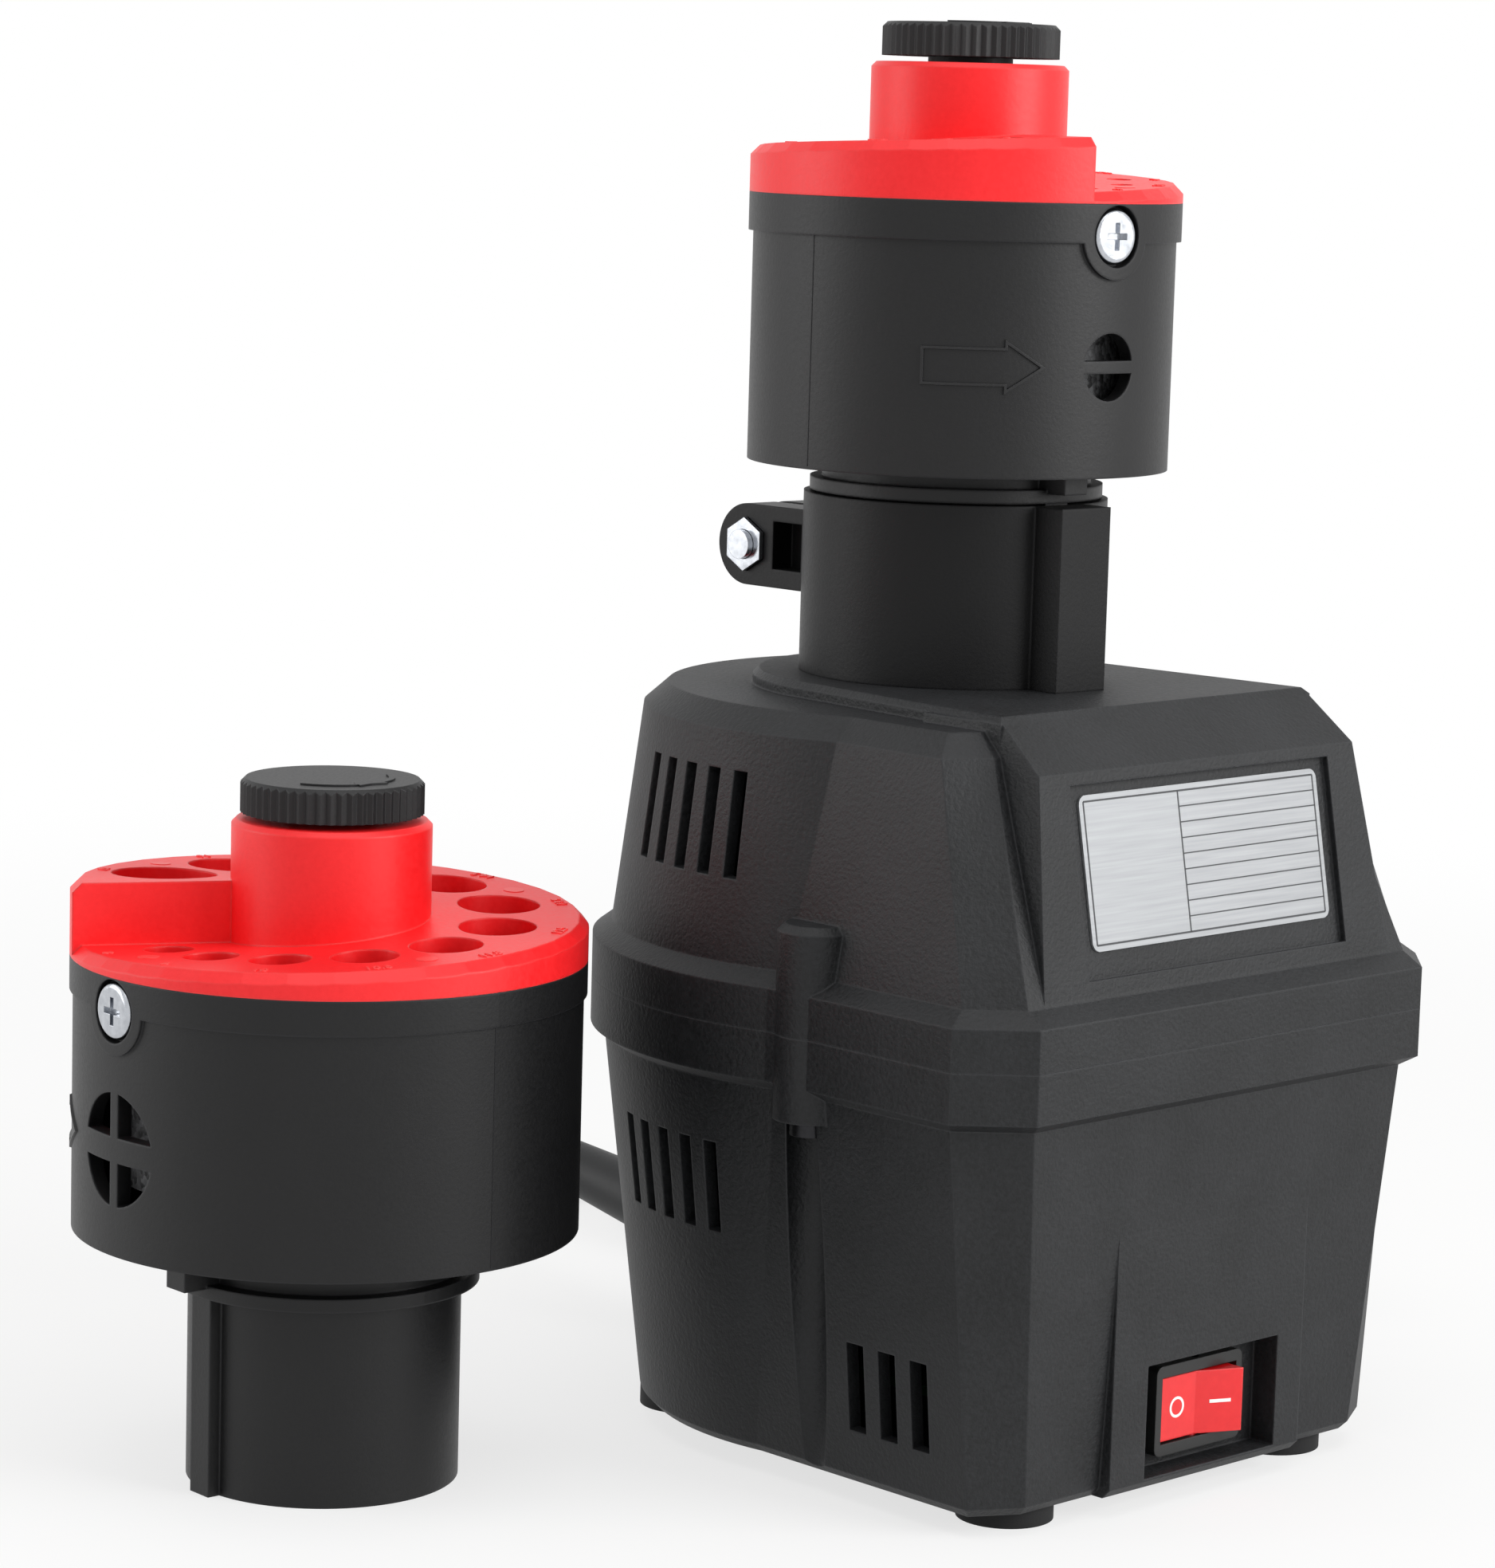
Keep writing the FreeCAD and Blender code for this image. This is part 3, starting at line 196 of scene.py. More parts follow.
# Silvered polyester is bright and satin, with streaks too fine to show singly, drawn at 0.5 mm.
silver_film = film("silver_polyester_film", "#8E9093", "#ACAEB0", 0.5 * MM, 0.42)
grey_ink = moulded("grey_screen_ink", "#3A3B3D", "#464749", "#464749", 0.4 * MM, 0.002 * MM, 0.5, 0.02 * MM)
dress(silver_film, "rating_plate")
lean = math.atan2(block_run, block_rise)
film_middle = (film_low.x + film_high.x) / 2
film_foot = Vector((film_middle, film_low.y, film_low.z + plate_thickness * math.sin(lean)))
film_place = Matrix.Translation(film_foot) @ Matrix.Rotation(math.pi / 2 - lean, 4, "X")
film_half = (film_high.x - film_low.x) / 2 - border_inset
film_tall = (film_high.z - film_foot.z) / math.cos(lean) - 2 * border_inset
rules = bmesh.new()
for edge in (0.0, film_tall):
    y = border_inset + edge
    slab(rules, film_place, -film_half, film_half, y - rule_width / 2, y + rule_width / 2,
         -rule_proud, rule_proud)
table_left = -film_half + 2 * film_half * table_start
for x in (-film_half, table_left, film_half):
    slab(rules, film_place, x - rule_width / 2, x + rule_width / 2, border_inset, border_inset + film_tall,
         -rule_proud, rule_proud)
for i in range(1, table_rows):
    y = border_inset + film_tall * i / table_rows
    slab(rules, film_place, table_left, film_half, y - rule_width / 3, y + rule_width / 3,
         -rule_proud, rule_proud)
piece("plate_rules", rules, grey_ink, "machine")

# Feet: four black rubber buttons under the tub, each held by a zinc-plated screw in its well.
# The long housing screws are black steel, driven up through the grooves in the side walls.
metal_edge = 0.2 * MM
metal_gloss_spread = 0.1


def metal(name, deep, pale, roughness, mark, depth=0.01 * MM):
    """Bare or plated metal, with a tone that drifts and marks of one size in its gloss."""
    material, tree, place = blank_material(name)
    marks = add(tree, "TexNoise", {"Scale": 1 / mark, "Detail": 4.0}, {"Vector": place})
    rounded = add(tree, "Bevel", {"samples": 4, "Radius": metal_edge})
    tone = add(tree, "Mix", {"data_type": "RGBA", 6: linear(deep), 7: linear(pale)}, {0: marks.outputs[0]})
    gloss = add(tree, "MapRange",
                {"To Min": roughness - metal_gloss_spread, "To Max": roughness + metal_gloss_spread},
                {"Value": marks.outputs[0]})
    bump = add(tree, "Bump", {"Distance": depth, "Strength": 0.4},
               {"Height": marks.outputs[0], "Normal": rounded.outputs["Normal"]})
    surface = add(tree, "BsdfPrincipled", {"Metallic": 1.0},
                  {"Base Color": tone.outputs[2], "Roughness": gloss.outputs["Result"],
                   "Normal": bump.outputs["Normal"]})
    add(tree, "OutputMaterial", {}, {"Surface": surface.outputs["BSDF"]})
    return material


# Nitrile rubber is black and dull, with no clear highlight; bright zinc is a cool, softly blotched silver.
# Black oxide leaves bare steel dark, with a low metal shine.
black_rubber = moulded("black_nitrile_rubber", "#141415", "#1C1C1D", "#2A2A2B", 0.5 * MM, 0.03 * MM,
                       0.75, 0.6 * MM)
bright_zinc = metal("bright_zinc_plate", "#A6A9AF", "#CDD0D5", 0.2, 1.2 * MM)
black_oxide = metal("black_oxide_steel", "#2A2A2C", "#3A3A3C", 0.4, 0.8 * MM)
dress(black_rubber, "rubber_feet")
dress(bright_zinc, "foot_screws")
dress(black_oxide, "housing_screws")

# Rocker switch: a glossy black nylon frame snapped in the recess, and a red polycarbonate rocker on pins.
# White signs are printed on the rocker's two faces: a ring for off and a bar for on.
rocker_tilt = math.radians(12.0)
rocker_rise = 1.5 * MM
sign_reach = 4.5 * MM
sign_proud = 0.06 * MM
ring_outer = 1.75 * MM
ring_inner = 1.3 * MM
bar_half_length = 1.9 * MM
bar_half_width = 0.28 * MM
ring_sides = 32
# Nylon frames come out of a polished tool, so they shine softly; polycarbonate is clear-faced and brighter.
black_nylon = moulded("black_nylon_polished", "#1A1B1B", "#222323", "#343535", 1.0 * MM, 0.01 * MM,
                      0.34, 0.25 * MM, shine=0.4)
red_rocker = moulded("red_polycarbonate_polished", "#E3161C", "#EC1E22", "#F04A48", 1.5 * MM, 0.005 * MM,
                     0.2, 0.35 * MM, 1.58, 0.5)
white_ink = moulded("white_pad_print_ink", "#F2F2F0", "#FAFAF8", "#FAFAF8", 0.4 * MM, 0.002 * MM,
                    0.45, 0.02 * MM)
dress(black_nylon, "switch_frame")
dress(red_rocker, "switch_rocker")
hinge = next(joint for joint in frame["joints"] if joint["name"] == "rocker_tilt")
pivot = Matrix.Translation(Vector(hinge["pos_m"]))
upright = Matrix.Rotation(math.pi / 2, 4, "X")
ridge = Matrix.Rotation(-rocker_tilt, 4, "Z") @ Matrix.Translation((0, -rocker_rise, 0))
off_face = pivot @ ridge @ Matrix.Rotation(rocker_tilt, 4, "Z") @ upright
on_face = pivot @ ridge @ Matrix.Rotation(-rocker_tilt, 4, "Z") @ upright
signs = bmesh.new()


def skin(shape, sections, closed):
    """Joins like sections into a tube that runs round to its start, or is capped at both ends."""
    follow = sections[1:] + sections[:1] if closed else sections[1:]
    for near, far in zip(sections, follow):
        for j in range(len(near)):
            k = (j + 1) % len(near)
            shape.faces.new((near[j], near[k], far[k], far[j]))
    if not closed:
        shape.faces.new(sections[0])
        shape.faces.new(reversed(sections[-1]))


def flat_ring(shape, place, outer, inner, low, high, sides):
    """A closed flat ring in a frame of its own."""
    sections = []
    for i in range(sides):
        c, s = math.cos(2 * math.pi * i / sides), math.sin(2 * math.pi * i / sides)
        section = [(inner, low), (outer, low), (outer, high), (inner, high)]
        sections.append([shape.verts.new(place @ Vector((r * c, r * s, z))) for r, z in section])
    skin(shape, sections, True)


flat_ring(signs, off_face @ Matrix.Translation((-sign_reach, 0, 0)), ring_outer, ring_inner,
          -sign_proud, sign_proud, ring_sides)
slab(signs, on_face, sign_reach - bar_half_length, sign_reach + bar_half_length,
     -bar_half_width, bar_half_width, -sign_proud, sign_proud)
piece("rocker_signs", signs, white_ink, "rocker")

# Clamp: a steel nut in its pocket and a socket screw, both zinc plated, that close the slit of the neck.
# Turning the screw pinches the split neck on the tube of the head.
dress(bright_zinc, "clamp_nut", "clamp_screw")

# Motor: a drawn steel can with die-cast bells, ferrite magnets, ball bearings and brushes in brass holders.
# Four plated screws hang it from the columns of the cover.
drawn_steel = metal("drawn_steel_phosphated", "#6A6C70", "#7E8084", 0.42, 3.0 * MM)
cast_alloy = metal("die_cast_aluminium", "#9A9C9F", "#B2B4B6", 0.5, 0.8 * MM, 0.04 * MM)
bearing_steel = metal("ground_bearing_steel", "#C4C6C9", "#DADBDD", 0.16, 2.0 * MM)
brass = metal("rolled_brass", "#C9A550", "#DDB964", 0.3, 1.5 * MM)
ferrite = moulded("sintered_ferrite", "#2B2A2A", "#353434", "#454444", 0.6 * MM, 0.03 * MM, 0.6, 0.3 * MM)
carbon = moulded("pressed_carbon", "#1B1B1C", "#252526", "#38383A", 0.4 * MM, 0.02 * MM, 0.5, 0.2 * MM)
dress(drawn_steel, "motor_can")
dress(cast_alloy, "front_bell", "rear_bell")
dress(bearing_steel, "front_bearing", "rear_bearing")
dress(ferrite, "motor_magnets")
dress(brass, "brush_holders")
dress(carbon, "carbon_brushes")
dress(bright_zinc, "motor_screws")

# Rotor: a ground shaft with a stack of steel sheets, enamelled copper windings and a copper commutator.
# A nylon fan is pressed on below, and a glass-filled nylon coupling above drives the head.
lamination = 0.5 * MM


def sheet_stack(name, deep, pale, sheet):
    """Punched steel sheets stacked along the shaft, with a dark line between one sheet and the next."""
    material, tree, place = blank_material(name)
    bands = add(tree, "TexWave", {"bands_direction": "Z", "Scale": math.pi / (10 * sheet)},
                {"Vector": place})
    tone = add(tree, "Mix", {"data_type": "RGBA", 6: linear(deep), 7: linear(pale)}, {0: bands.outputs[0]})
    bump = add(tree, "Bump", {"Distance": 0.05 * MM}, {"Height": bands.outputs[0]})
    surface = add(tree, "BsdfPrincipled", {"Metallic": 0.9, "Roughness": 0.45},
                  {"Base Color": tone.outputs[2], "Normal": bump.outputs["Normal"]})
    add(tree, "OutputMaterial", {}, {"Surface": surface.outputs["BSDF"]})
    return material


electrical_steel = sheet_stack("laminated_electrical_steel", "#4B4C50", "#85878B", lamination)
enamelled_copper = metal("enamelled_copper_wire", "#8E4A24", "#B8683A", 0.35, 0.6 * MM, 0.1 * MM)
turned_copper = metal("turned_copper", "#B87348", "#CC8A5E", 0.28, 1.0 * MM)
fan_nylon = moulded("black_nylon_moulded", "#1B1C1D", "#242526", "#36373A", 0.8 * MM, 0.02 * MM,
                    0.45, 0.3 * MM)
dress(bearing_steel, "motor_shaft")
dress(electrical_steel, "armature_core")
dress(enamelled_copper, "armature_windings")
dress(turned_copper, "commutator")
dress(fan_nylon, "cooling_fan", "drive_coupling")

# Rectifier board: glass-epoxy laminate with its parts soldered on, on four posts behind the switch.
# The green solder mask has a soft shine over the weave.
green_mask = moulded("green_solder_mask", "#1F5A34", "#28683E", "#4F8660", 0.9 * MM, 0.02 * MM,
                     0.4, 0.2 * MM)
dress(green_mask, "rectifier_board")

# Grinding heads: a black moulded drum on a tube, a red guide cap screwed on it, and a ribbed knob on top.
# Inside, a spindle in a bronze bush carries the wheel, and the knob moves the plunger that sets its height.
head_deep = "#0E0E0F"
head_pale = "#151516"
# Paler colour of the drum's rounded edges: partly wear, partly a painted highlight.
head_wear_and_highlight = "#3C3C3F"
cap_deep = "#F5181D"
cap_pale = "#FC2428"
# Paler colour of the cap's rounded edges: partly wear, partly a painted highlight.
cap_wear_and_highlight = "#FB5C58"
abrasive_grain = 0.9 * MM
line_width = 0.65 * MM
line_proud = 0.35 * MM
line_sunk = 0.3 * MM
line_crest = 0.6
line_step = 0.8 * MM
arrow_tail = math.radians(-146.4)
arrow_neck = math.radians(-124.5)
arrow_tip = math.radians(-114.4)
arrow_half = 2.85 * MM
arrow_head_half = 3.95 * MM
seam_width = 0.3 * MM
seam_proud = 0.07 * MM
seam_foot = 0.5 * MM
weld = 0.001 * MM
figure_size = 2.6 * MM
figure_proud = 0.22 * MM
ejector_radius = 1.7 * MM
ejector_proud = 0.1 * MM
ejector_dimple = 0.02 * ejector_radius
ejector_sides = 20
ejector_every = 3
turn_mark_radius = 9.4 * MM
turn_mark_half_width = 0.5 * MM
turn_mark_head = 1.3 * MM
turn_mark_proud = 0.3 * MM
turn_mark_steps = 14
turn_mark_sweeps = ((200.0, 255.0), (340.0, 285.0))
hole_count = 11
first_hole_angle = math.radians(14.0)
heads = {
    "": dict(turn=0.0, drum=35.0 * MM, drum_height=44.0 * MM, rim_band=6.3 * MM, arrow_height=17.9 * MM,
             step=math.radians(-101.6), low=1.8 * MM, high=10.5 * MM, ring=26.2 * MM, figures=32.5 * MM,
             first=3.2 * MM, growth=0.5 * MM, last_angle=math.radians(336.0)),
    "second_": dict(turn=math.radians(-90.0), drum=40.7 * MM, drum_height=44.0 * MM, rim_band=5.5 * MM,
                    arrow_height=16.9 * MM, step=math.radians(-118.0), low=2.0 * MM, high=12.0 * MM,
                    ring=27.8 * MM, figures=38.1 * MM, first=8.0 * MM, growth=0.9 * MM,
                    last_angle=math.radians(333.0)),
}


def abrasive(name, deep, pale, grain):
    """Bonded grit: angular grains of mixed tone standing out of a dark bond."""
    material, tree, place = blank_material(name)
    grains = add(tree, "TexVoronoi", {"Scale": 1 / grain}, {"Vector": place})
    tint = add(tree, "SeparateColor", {}, {"Color": grains.outputs["Color"]})
    tone = add(tree, "Mix", {"data_type": "RGBA", 6: linear(deep), 7: linear(pale)}, {0: tint.outputs[0]})
    bump = add(tree, "Bump", {"Distance": 0.3 * MM, "invert": True}, {"Height": grains.outputs["Distance"]})
    surface = add(tree, "BsdfPrincipled", {"Roughness": 0.7, "IOR": 1.6},
                  {"Base Color": tone.outputs[2], "Normal": bump.outputs["Normal"]})
    add(tree, "OutputMaterial", {}, {"Surface": surface.outputs["BSDF"]})
    return material


def line_on_drum(shape, corners, closed, width, proud, centre, radius, turn):
    """A low rib that follows corners given as angle and height on a drum; its section narrows upwards."""
    path = []
    legs = list(zip(corners, corners[1:] + corners[:1]))
    for (a0, z0), (a1, z1) in legs if closed else legs[:-1]:
        start, end = Vector((a0 * radius, z0)), Vector((a1 * radius, z1))
        parts = max(1, round((end - start).length / line_step))
        path += [start.lerp(end, i / parts) for i in range(parts)]
    if not closed:
        path.append(Vector((corners[-1][0] * radius, corners[-1][1])))
    crest = 0.5 * line_crest
    profile = ((0.5, -line_sunk), (crest, proud), (-crest, proud), (-0.5, -line_sunk))
    rings = []
    for i, point in enumerate(path):
        before = path[i - 1] if closed or i else point
        after = path[(i + 1) % len(path)] if closed or i + 1 < len(path) else point
        sides = [(q - p).normalized().orthogonal() for p, q in ((before, point), (point, after)) if q != p]
        mitre = (sides[0] + sides[-1]) / (1 + sides[0].dot(sides[-1]))
        section = []
        for side, reach in profile:
            spot = point + mitre * (side * width)
            angle = spot.x / radius + turn
            reach += radius
            around = Vector((reach * math.cos(angle), reach * math.sin(angle), spot.y))
            section.append(shape.verts.new(centre + around))
        rings.append(section)
    skin(shape, rings, closed)


def deck_height(head, angle):
    """How far the rising deck of the cap stands above the drum's edge at an angle."""
    climbed = (angle - head["step"]) % (2 * math.pi)
    return head["low"] + (head["high"] - head["low"]) * climbed / (2 * math.pi)


def deck_place(head, centre, edge, radius, angle):
    """A frame on the deck: x runs round the cap, y towards its axis and z out of the sloping face."""
    world = angle + head["turn"]
    out = Vector((math.cos(world), math.sin(world), 0))
    slope = (head["high"] - head["low"]) / (2 * math.pi * radius)
    along = Vector((-out.y, out.x, slope)).normalized()
    up = along.cross(-out).normalized()
    spot = centre + out * radius + Vector((0, 0, edge + deck_height(head, angle)))
    place = Matrix((along, -out, up)).transposed().to_4x4()
    place.translation = spot
    return place


def figure(shape, words, place):
    """A raised number, standing on the plane of its frame."""
    curve = bpy.data.curves.new("figure", "FONT")
    curve.body = words
    curve.size = figure_size
    curve.extrude = figure_proud
    curve.align_x = "CENTER"
    curve.align_y = "CENTER"
    holder = bpy.data.objects.new("figure", curve)
    mesh = bpy.data.meshes.new_from_object(holder)
    mesh.transform(place)
    shape.from_mesh(mesh)
    bpy.data.meshes.remove(mesh)
    bpy.data.objects.remove(holder)
    bpy.data.curves.remove(curve)


def turn_mark(shape, place, start, end):
    """A raised arc with an arrowhead, on the flat top of the knob."""
    rows = []
    for i in range(turn_mark_steps + 1):
        angle = start + (end - start) * i / turn_mark_steps
        c, s = math.cos(angle), math.sin(angle)
        row = []
        for side, level in ((-1, -1), (1, -1), (1, 1), (-1, 1)):
            reach = turn_mark_radius + side * turn_mark_half_width
            row.append(shape.verts.new(place @ Vector((reach * c, reach * s, level * turn_mark_proud))))
        rows.append(row)
    skin(shape, rows, False)
    sense = 1 if end > start else -1
    c, s = math.cos(end), math.sin(end)
    ahead = Vector((-s, c, 0)) * (sense * 2 * turn_mark_head)
    out = Vector((c, s, 0))
    base = out * turn_mark_radius
    outline = [base + out * turn_mark_head, base + ahead, base - out * turn_mark_head]
    levels = []
    for z in (-turn_mark_proud, turn_mark_proud):
        levels.append([shape.verts.new(place @ (p + Vector((0, 0, z)))) for p in outline])
    skin(shape, levels, False)


# The drum's ABS is blacker and a little smoother than the housing; the red cap is glossier.
# Raised lines and figures are the same plastics drawn a little paler, a painted highlight where they stand
# out.
black_abs = moulded("black_abs_fine_matt", head_deep, head_pale, head_wear_and_highlight, 0.6 * MM, 0.03 * MM,
                    0.46, 0.5 * MM)
red_abs = moulded("red_abs_satin", cap_deep, cap_pale, cap_wear_and_highlight, 0.9 * MM, 0.03 * MM,
                  0.42, 0.5 * MM, shine=0.4)
# Drawn paler than the drum and cap they stand on: a painted highlight on the raised lines and figures.
raised_abs_painted_highlight = moulded("black_abs_raised_line_painted_highlight", "#1A1A1B", "#222223", "#4A4A4C", 0.6 * MM, 0.01 * MM,
                     0.4, 0.1 * MM)
raised_red_painted_highlight = moulded("red_abs_raised_figures_painted_highlight", "#F83A3A", "#FE4848", "#FF7A76", 0.9 * MM, 0.01 * MM,
                     0.4, 0.1 * MM)
knob_abs = moulded("black_abs_ribbed_grip", "#131314", "#1B1B1C", "#434446", 0.5 * MM, 0.03 * MM,
                   0.5, 0.25 * MM)
bronze = metal("sintered_bronze", "#8C6A3E", "#A8834F", 0.45, 0.4 * MM, 0.04 * MM)
turned_steel = metal("turned_steel", "#A7A9AC", "#C2C4C7", 0.3, 0.6 * MM)
# Grit of the wheel, drawn coarser than real 0.2 mm grains so that it shows through the vents.
bonded_grit = abrasive("bonded_abrasive_grit", "#2B2B2C", "#77787A", abrasive_grain)
for prefix, head in heads.items():
    dress(black_abs, prefix + "head_body")
    dress(red_abs, prefix + "guide_cap")
    dress(bright_zinc, prefix + "cap_screws", prefix + "wheel_nut")
    dress(bronze, prefix + "lower_bush", prefix + "plunger_guide")
    dress(knob_abs, prefix + "adjuster_knob")
    dress(turned_steel, prefix + "knob_ring", prefix + "adjuster_plunger", prefix + "wheel_spindle")
    dress(bonded_grit, prefix + "grinding_wheel")
    dress(fan_nylon, prefix + "drive_dog")

    low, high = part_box(prefix + "guide_cap")
    centre = Vector(((low.x + high.x) / 2, (low.y + high.y) / 2, 0))
    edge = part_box(prefix + "head_body")[1].z
    bottom = edge - head["drum_height"]
    band = edge - head["rim_band"]

    arrow_z = bottom + head["arrow_height"]
    outline = [(arrow_tail, arrow_z - arrow_half), (arrow_neck, arrow_z - arrow_half),
               (arrow_neck, arrow_z - arrow_head_half), (arrow_tip, arrow_z),
               (arrow_neck, arrow_z + arrow_head_half), (arrow_neck, arrow_z + arrow_half),
               (arrow_tail, arrow_z + arrow_half)]
    arrow = bmesh.new()
    line_on_drum(arrow, outline, True, line_width, line_proud, centre, head["drum"], head["turn"])
    piece(prefix + "turning_arrow", arrow, raised_abs_painted_highlight, prefix + "head")

    seams = bmesh.new()
    for side in (0.0, math.pi):
        line_on_drum(seams, [(side, bottom + seam_foot), (side, band)], False, seam_width, seam_proud,
                     centre, head["drum"], head["turn"])
    piece(prefix + "mould_seams", seams, black_abs, prefix + "head")

    figures = bmesh.new()
    sizes = [head["first"] + head["growth"] * i for i in range(hole_count)]
    arc = (head["last_angle"] - first_hole_angle) * head["ring"]
    web = (arc - sum(sizes) + 0.5 * (sizes[0] + sizes[-1])) / (hole_count - 1)
    angle = head["step"] + first_hole_angle
    for i, size in enumerate(sizes):
        # A figure gives its hole's size to the nearest half millimetre.
        words = "%g" % (round(2 * size / MM) / 2)
        figure(figures, words, deck_place(head, centre, edge, head["figures"], angle))
        if i + 1 < hole_count:
            between = angle + (0.5 * size + 0.5 * web) / head["ring"]
            if i % ejector_every == 0:
                mark = deck_place(head, centre, edge, head["figures"] - 2 * ejector_radius, between)
                flat_ring(figures, mark, ejector_radius, ejector_dimple, -ejector_proud, ejector_proud,
                          ejector_sides)
            angle += (0.5 * (size + sizes[i + 1]) + web) / head["ring"]
    bmesh.ops.remove_doubles(figures, verts=figures.verts, dist=weld)
    piece(prefix + "size_figures", figures, raised_red_painted_highlight, prefix + "head")

    marks = bmesh.new()
    knob_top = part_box(prefix + "adjuster_knob")[1].z
    top_place = Matrix.Translation(centre + Vector((0, 0, knob_top)))
    for start, end in turn_mark_sweeps:
        turn_mark(marks, top_place, math.radians(start), math.radians(end))
    piece(prefix + "knob_turn_marks", marks, knob_abs, prefix + "knob")

# Mains cord: a round two-core lead in dull black PVC, about 1.6 m long, in a tapered sleeve at the housing.
# Its spare length is wound in two layers behind the machine, held by a strap, and ends in a two-pin plug.
cord_radius = 3.25 * MM
coil_x = 90.0 * MM
coil_y = 102.0 * MM
coil_inner = 26.0 * MM
coil_pitch = 7.0 * MM
coil_floor = 4.55 * MM
coil_start = math.radians(90.0)
coil_end = math.radians(-34.0)
coil_whole_turns = 6
coil_turn = coil_start - coil_end + 2 * math.pi * coil_whole_turns
coil_tail = 21.0 * MM
points_per_turn = 24
last_step = 0.002
route = [(0.0, 97.57, 27.31), (0.0, 118.36, 30.23), (7.0, 139.0, 27.5), (22.5, 152.0, 19.0),
         (42.5, 154.0, 9.5), (63.51, 150.83, 4.55), (83.50, 150.36, 4.55)]
shaft_low, shaft_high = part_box("motor_shaft")
spindle = Vector(((shaft_low.x + shaft_high.x) / 2, (shaft_low.y + shaft_high.y) / 2, 0))


def coil_reach(turned):
    """How far from the middle of the coil the cord lies: inwards for half its turns, then outwards."""
    return coil_inner + coil_pitch * abs(turned - 0.5 * coil_turn) / (2 * math.pi)


def coil_point(turned):
    """A point of the coil: in on the floor layer, up in half a turn, and out on the layer above."""
    reach = coil_reach(turned)
    climb = min(1.0, max(0.0, (turned - 0.5 * coil_turn) / math.pi + 0.5))
    climb = climb * climb * (3 - 2 * climb)
    angle = coil_start - turned
    return Vector((coil_x + reach * math.cos(angle), coil_y + reach * math.sin(angle),
                   coil_floor + coil_pitch * climb))


points = [Vector(point) * MM for point in route]
coil_steps = round(points_per_turn * coil_turn / (2 * math.pi))
points += [coil_point(coil_turn * i / coil_steps) for i in range(coil_steps + 1)]
leaving = (coil_point(coil_turn) - coil_point(coil_turn - last_step)).normalized()
points.append(coil_point(coil_turn) + leaving * coil_tail)
lead = bpy.data.curves.new("mains_cord", "CURVE")
lead.dimensions = "3D"
lead.bevel_depth = cord_radius
lead.bevel_resolution = 5
lead.resolution_u = 6
lead.use_fill_caps = True
spline = lead.splines.new("NURBS")
spline.points.add(len(points) - 1)
for spot, point in zip(spline.points, points):
    spot.co = (*(point + spindle), 1.0)
spline.order_u = 3
spline.use_endpoint_u = True
# PVC sheath is smooth and dull, with a slow waviness from the cores under it.
black_pvc = moulded("black_pvc_sheath", "#1B1C1D", "#232425", "#2C2D2E", 6.0 * MM, 0.08 * MM,
                    0.48, 0.2 * MM, 1.52)
sleeve_pvc = moulded("grey_black_pvc_moulded", "#1C1D1E", "#252627", "#3C3D3F", 0.8 * MM, 0.02 * MM,
                     0.5, 0.3 * MM, 1.52)
lead.materials.append(black_pvc)
cord = bpy.data.objects.new("mains_cord", lead)
bpy.context.scene.collection.objects.link(cord)
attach(cord, "machine")
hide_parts("cord_stretch", "cord_coil")
dress(sleeve_pvc, "strain_relief", "plug_body")
nickel = metal("nickel_plated_brass", "#BDB8AC", "#D6D2C8", 0.2, 1.0 * MM)
dress(nickel, "plug_pins")

# Strap tie: a woven nylon strip closed round all the turns of the coil.
# It is held by its own hooks, and its corners follow the outer and inner turns of the cord.
tie_angle = math.radians(215.0)
tie_slack = 0.3 * MM
tie_thickness = 1.0 * MM
tie_half_width = 3.0 * MM
tie_corner_steps = 6
corner_radius = cord_radius + tie_slack
first_pass = (coil_start - tie_angle) % (2 * math.pi)
passes = [first_pass + 2 * math.pi * i for i in range(int((coil_turn - first_pass) / (2 * math.pi)) + 1)]
floor_turns = [coil_reach(turned) for turned in passes if turned < 0.5 * coil_turn]
upper_turns = [coil_reach(turned) for turned in passes if turned > 0.5 * coil_turn]


def webbing(name, deep, pale, thread):
    """Flat nylon webbing: crossed threads that stand proud of the gaps between them."""
    material, tree, place = blank_material(name)
    warp = add(tree, "TexWave", {"bands_direction": "DIAGONAL", "Scale": math.pi / (10 * thread)},
               {"Vector": place})
    weft = add(tree, "TexWave", {"bands_direction": "Z", "Scale": math.pi / (10 * thread)},
               {"Vector": place})
    weave = add(tree, "Math", {"operation": "MULTIPLY"}, {0: warp.outputs[0], 1: weft.outputs[0]})
    tone = add(tree, "Mix", {"data_type": "RGBA", 6: linear(deep), 7: linear(pale)}, {0: weave.outputs[0]})
    bump = add(tree, "Bump", {"Distance": 0.1 * MM}, {"Height": weave.outputs[0]})
    surface = add(tree, "BsdfPrincipled", {"Roughness": 0.8, "Sheen Weight": 0.3},
                  {"Base Color": tone.outputs[2], "Normal": bump.outputs["Normal"]})
    add(tree, "OutputMaterial", {}, {"Surface": surface.outputs["BSDF"]})
    return material


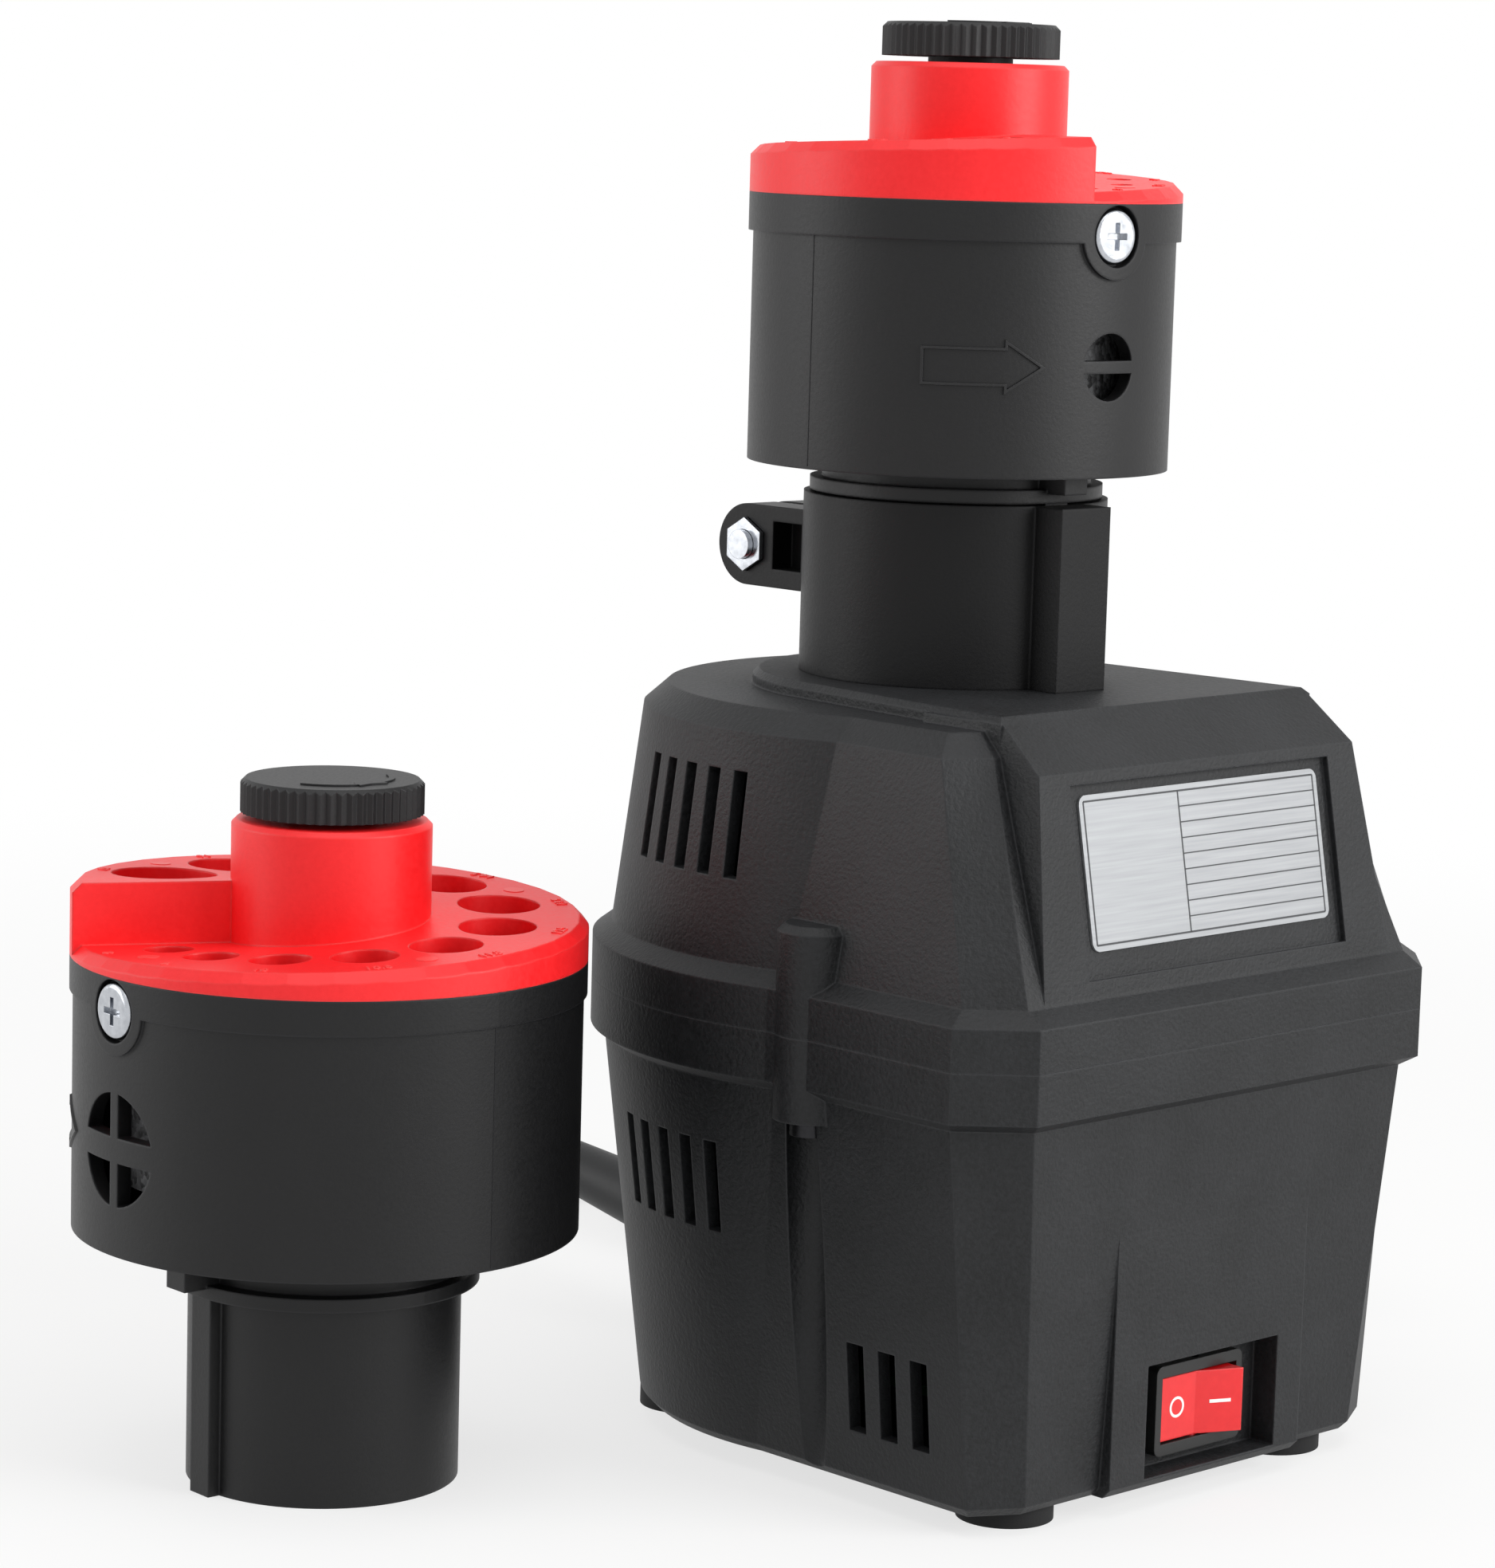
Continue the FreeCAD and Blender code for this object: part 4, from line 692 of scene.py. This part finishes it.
strap_webbing = webbing("black_nylon_webbing", "#141415", "#2A2A2C", 0.6 * MM)
strap = bmesh.new()
strap_place = Matrix.Translation(spindle + Vector((coil_x, coil_y, 0))) @ Matrix.Rotation(tie_angle, 4, "Z")
coil_roof = coil_floor + coil_pitch
corners = [(max(upper_turns), coil_roof, 0.0), (min(upper_turns), coil_roof, math.pi / 2),
           (min(floor_turns), coil_floor, math.pi), (max(floor_turns), coil_floor, 1.5 * math.pi)]
loops = []
for reach, height, first in corners:
    for i in range(tie_corner_steps + 1):
        angle = first + 0.5 * math.pi * i / tie_corner_steps
        section = []
        for thick, side in ((0, -1), (0, 1), (1, 1), (1, -1)):
            r = corner_radius + thick * tie_thickness
            spot = Vector((reach + r * math.cos(angle), side * tie_half_width,
                           height + r * math.sin(angle)))
            section.append(strap.verts.new(strap_place @ spot))
        loops.append(section)
skin(strap, loops, True)
tie = piece("strap_tie", strap, strap_webbing, "machine")
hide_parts("cord_tie")

# Stage: a seamless white paper sweep, with soft boxes above, at the front right and at the rear left.
# The paper fades to plain white away from the part, and keeps the part's shadow near it.
paper_white = "#FAFAF9"
paper_reach = 3.0
fade_near = 0.25
fade_far = 0.75
world_strength = 0.4
paper_glow = 0.72
fibre_size = 2.0 * MM
fibre_depth = 0.02 * MM


def seen_directly(tree):
    """One where the camera sees a surface, also in a reflection or through glass, and nought elsewhere."""
    rays = add(tree, "LightPath")
    seen = add(tree, "Math", {"operation": "ADD"},
               {0: rays.outputs["Is Camera Ray"], 1: rays.outputs["Is Glossy Ray"]})
    seen = add(tree, "Math", {"operation": "ADD", "use_clamp": True},
               {0: seen.outputs[0], 1: rays.outputs["Is Transmission Ray"]})
    return seen.outputs[0]


floor_mesh = bmesh.new()
bmesh.ops.create_grid(floor_mesh, x_segments=1, y_segments=1, size=paper_reach)
floor_data = bpy.data.meshes.new("paper_floor")
floor_mesh.to_mesh(floor_data)
floor_mesh.free()
floor = bpy.data.objects.new("paper_floor", floor_data)
bpy.context.scene.collection.objects.link(floor)
paper, tree, place = blank_material("white_paper_sweep")
away = add(tree, "VectorMath", {"operation": "LENGTH"}, {0: place})
fade = add(tree, "MapRange", {"interpolation_type": "SMOOTHSTEP", "From Min": fade_near,
                              "From Max": fade_far, "To Min": paper_glow},
           {"Value": away.outputs["Value"]})
share = add(tree, "Math", {"operation": "MULTIPLY"}, {0: fade.outputs["Result"], 1: seen_directly(tree)})
fibres = add(tree, "TexNoise", {"Scale": 1 / fibre_size, "Detail": 3.0}, {"Vector": place})
fibre_bump = add(tree, "Bump", {"Distance": fibre_depth}, {"Height": fibres.outputs[0]})
sheet = add(tree, "BsdfPrincipled", {"Base Color": linear(paper_white), "Roughness": 0.8},
            {"Normal": fibre_bump.outputs["Normal"]})
glow = add(tree, "Emission")
sweep = add(tree, "MixShader", {},
            {0: share.outputs[0], 1: sheet.outputs["BSDF"], 2: glow.outputs["Emission"]})
add(tree, "OutputMaterial", {}, {"Surface": sweep.outputs["Shader"]})
floor_data.materials.append(paper)

world = bpy.data.worlds.new("white_studio")
bpy.context.scene.world = world
world.use_nodes = True
sky = world.node_tree
sky.nodes.clear()
level = add(sky, "MapRange", {"To Min": world_strength, "To Max": 1.0}, {"Value": seen_directly(sky)})
glow = add(sky, "Background", {"Color": (1.0, 1.0, 1.0, 1.0)}, {"Strength": level.outputs["Result"]})
add(sky, "OutputWorld", {}, {"Surface": glow.outputs["Background"]})


def soft_box(name, spot, aim, width, power):
    """A square soft box that faces a point."""
    lamp = bpy.data.lights.new(name, "AREA")
    lamp.shape = "SQUARE"
    lamp.size = width
    lamp.energy = power
    box = bpy.data.objects.new(name, lamp)
    box.location = spot
    box.rotation_euler = (Vector(aim) - Vector(spot)).to_track_quat("-Z", "Y").to_euler()
    bpy.context.scene.collection.objects.link(box)


middle = (0.0, 0.0, 0.12)
soft_box("soft_box_above", spot=(-0.1, -0.2, 1.1), aim=middle, width=0.9, power=4.0)
soft_box("soft_box_right", spot=(0.45, -1.0, 0.5), aim=middle, width=0.7, power=10.0)
soft_box("soft_box_left", spot=(-0.8, 0.75, 0.4), aim=middle, width=0.7, power=4.0)

# Camera: a long lens a little lower than the machine's top, looking down at its front left corner.
# Its place and turn were solved from edges of known size on the part.
frame_height_pixels = 1967
focal_pixels = 5922.69
sensor = 36.0
yaw = 0.7676202
pitch = 0.1426215
roll = 0.0284408
eye = Vector((-570.36, -542.99, 220.87)) * MM + spindle
forward = Vector((math.sin(yaw) * math.cos(pitch), math.cos(yaw) * math.cos(pitch), -math.sin(pitch)))
level_right = Vector((math.cos(yaw), -math.sin(yaw), 0))
level_up = level_right.cross(forward)
right = level_right * math.cos(roll) + level_up * math.sin(roll)
up = level_up * math.cos(roll) - level_right * math.sin(roll)
lens = bpy.data.cameras.new("photo_camera")
lens.sensor_fit = "VERTICAL"
lens.sensor_height = sensor
lens.lens = sensor * focal_pixels / frame_height_pixels
lens.clip_start = 0.01
camera = bpy.data.objects.new("photo_camera", lens)
camera.matrix_world = Matrix((right, up, -forward)).transposed().to_4x4()
camera.location = eye
bpy.context.scene.collection.objects.link(camera)
bpy.context.scene.camera = camera
bpy.context.scene.view_settings.view_transform = "Standard"
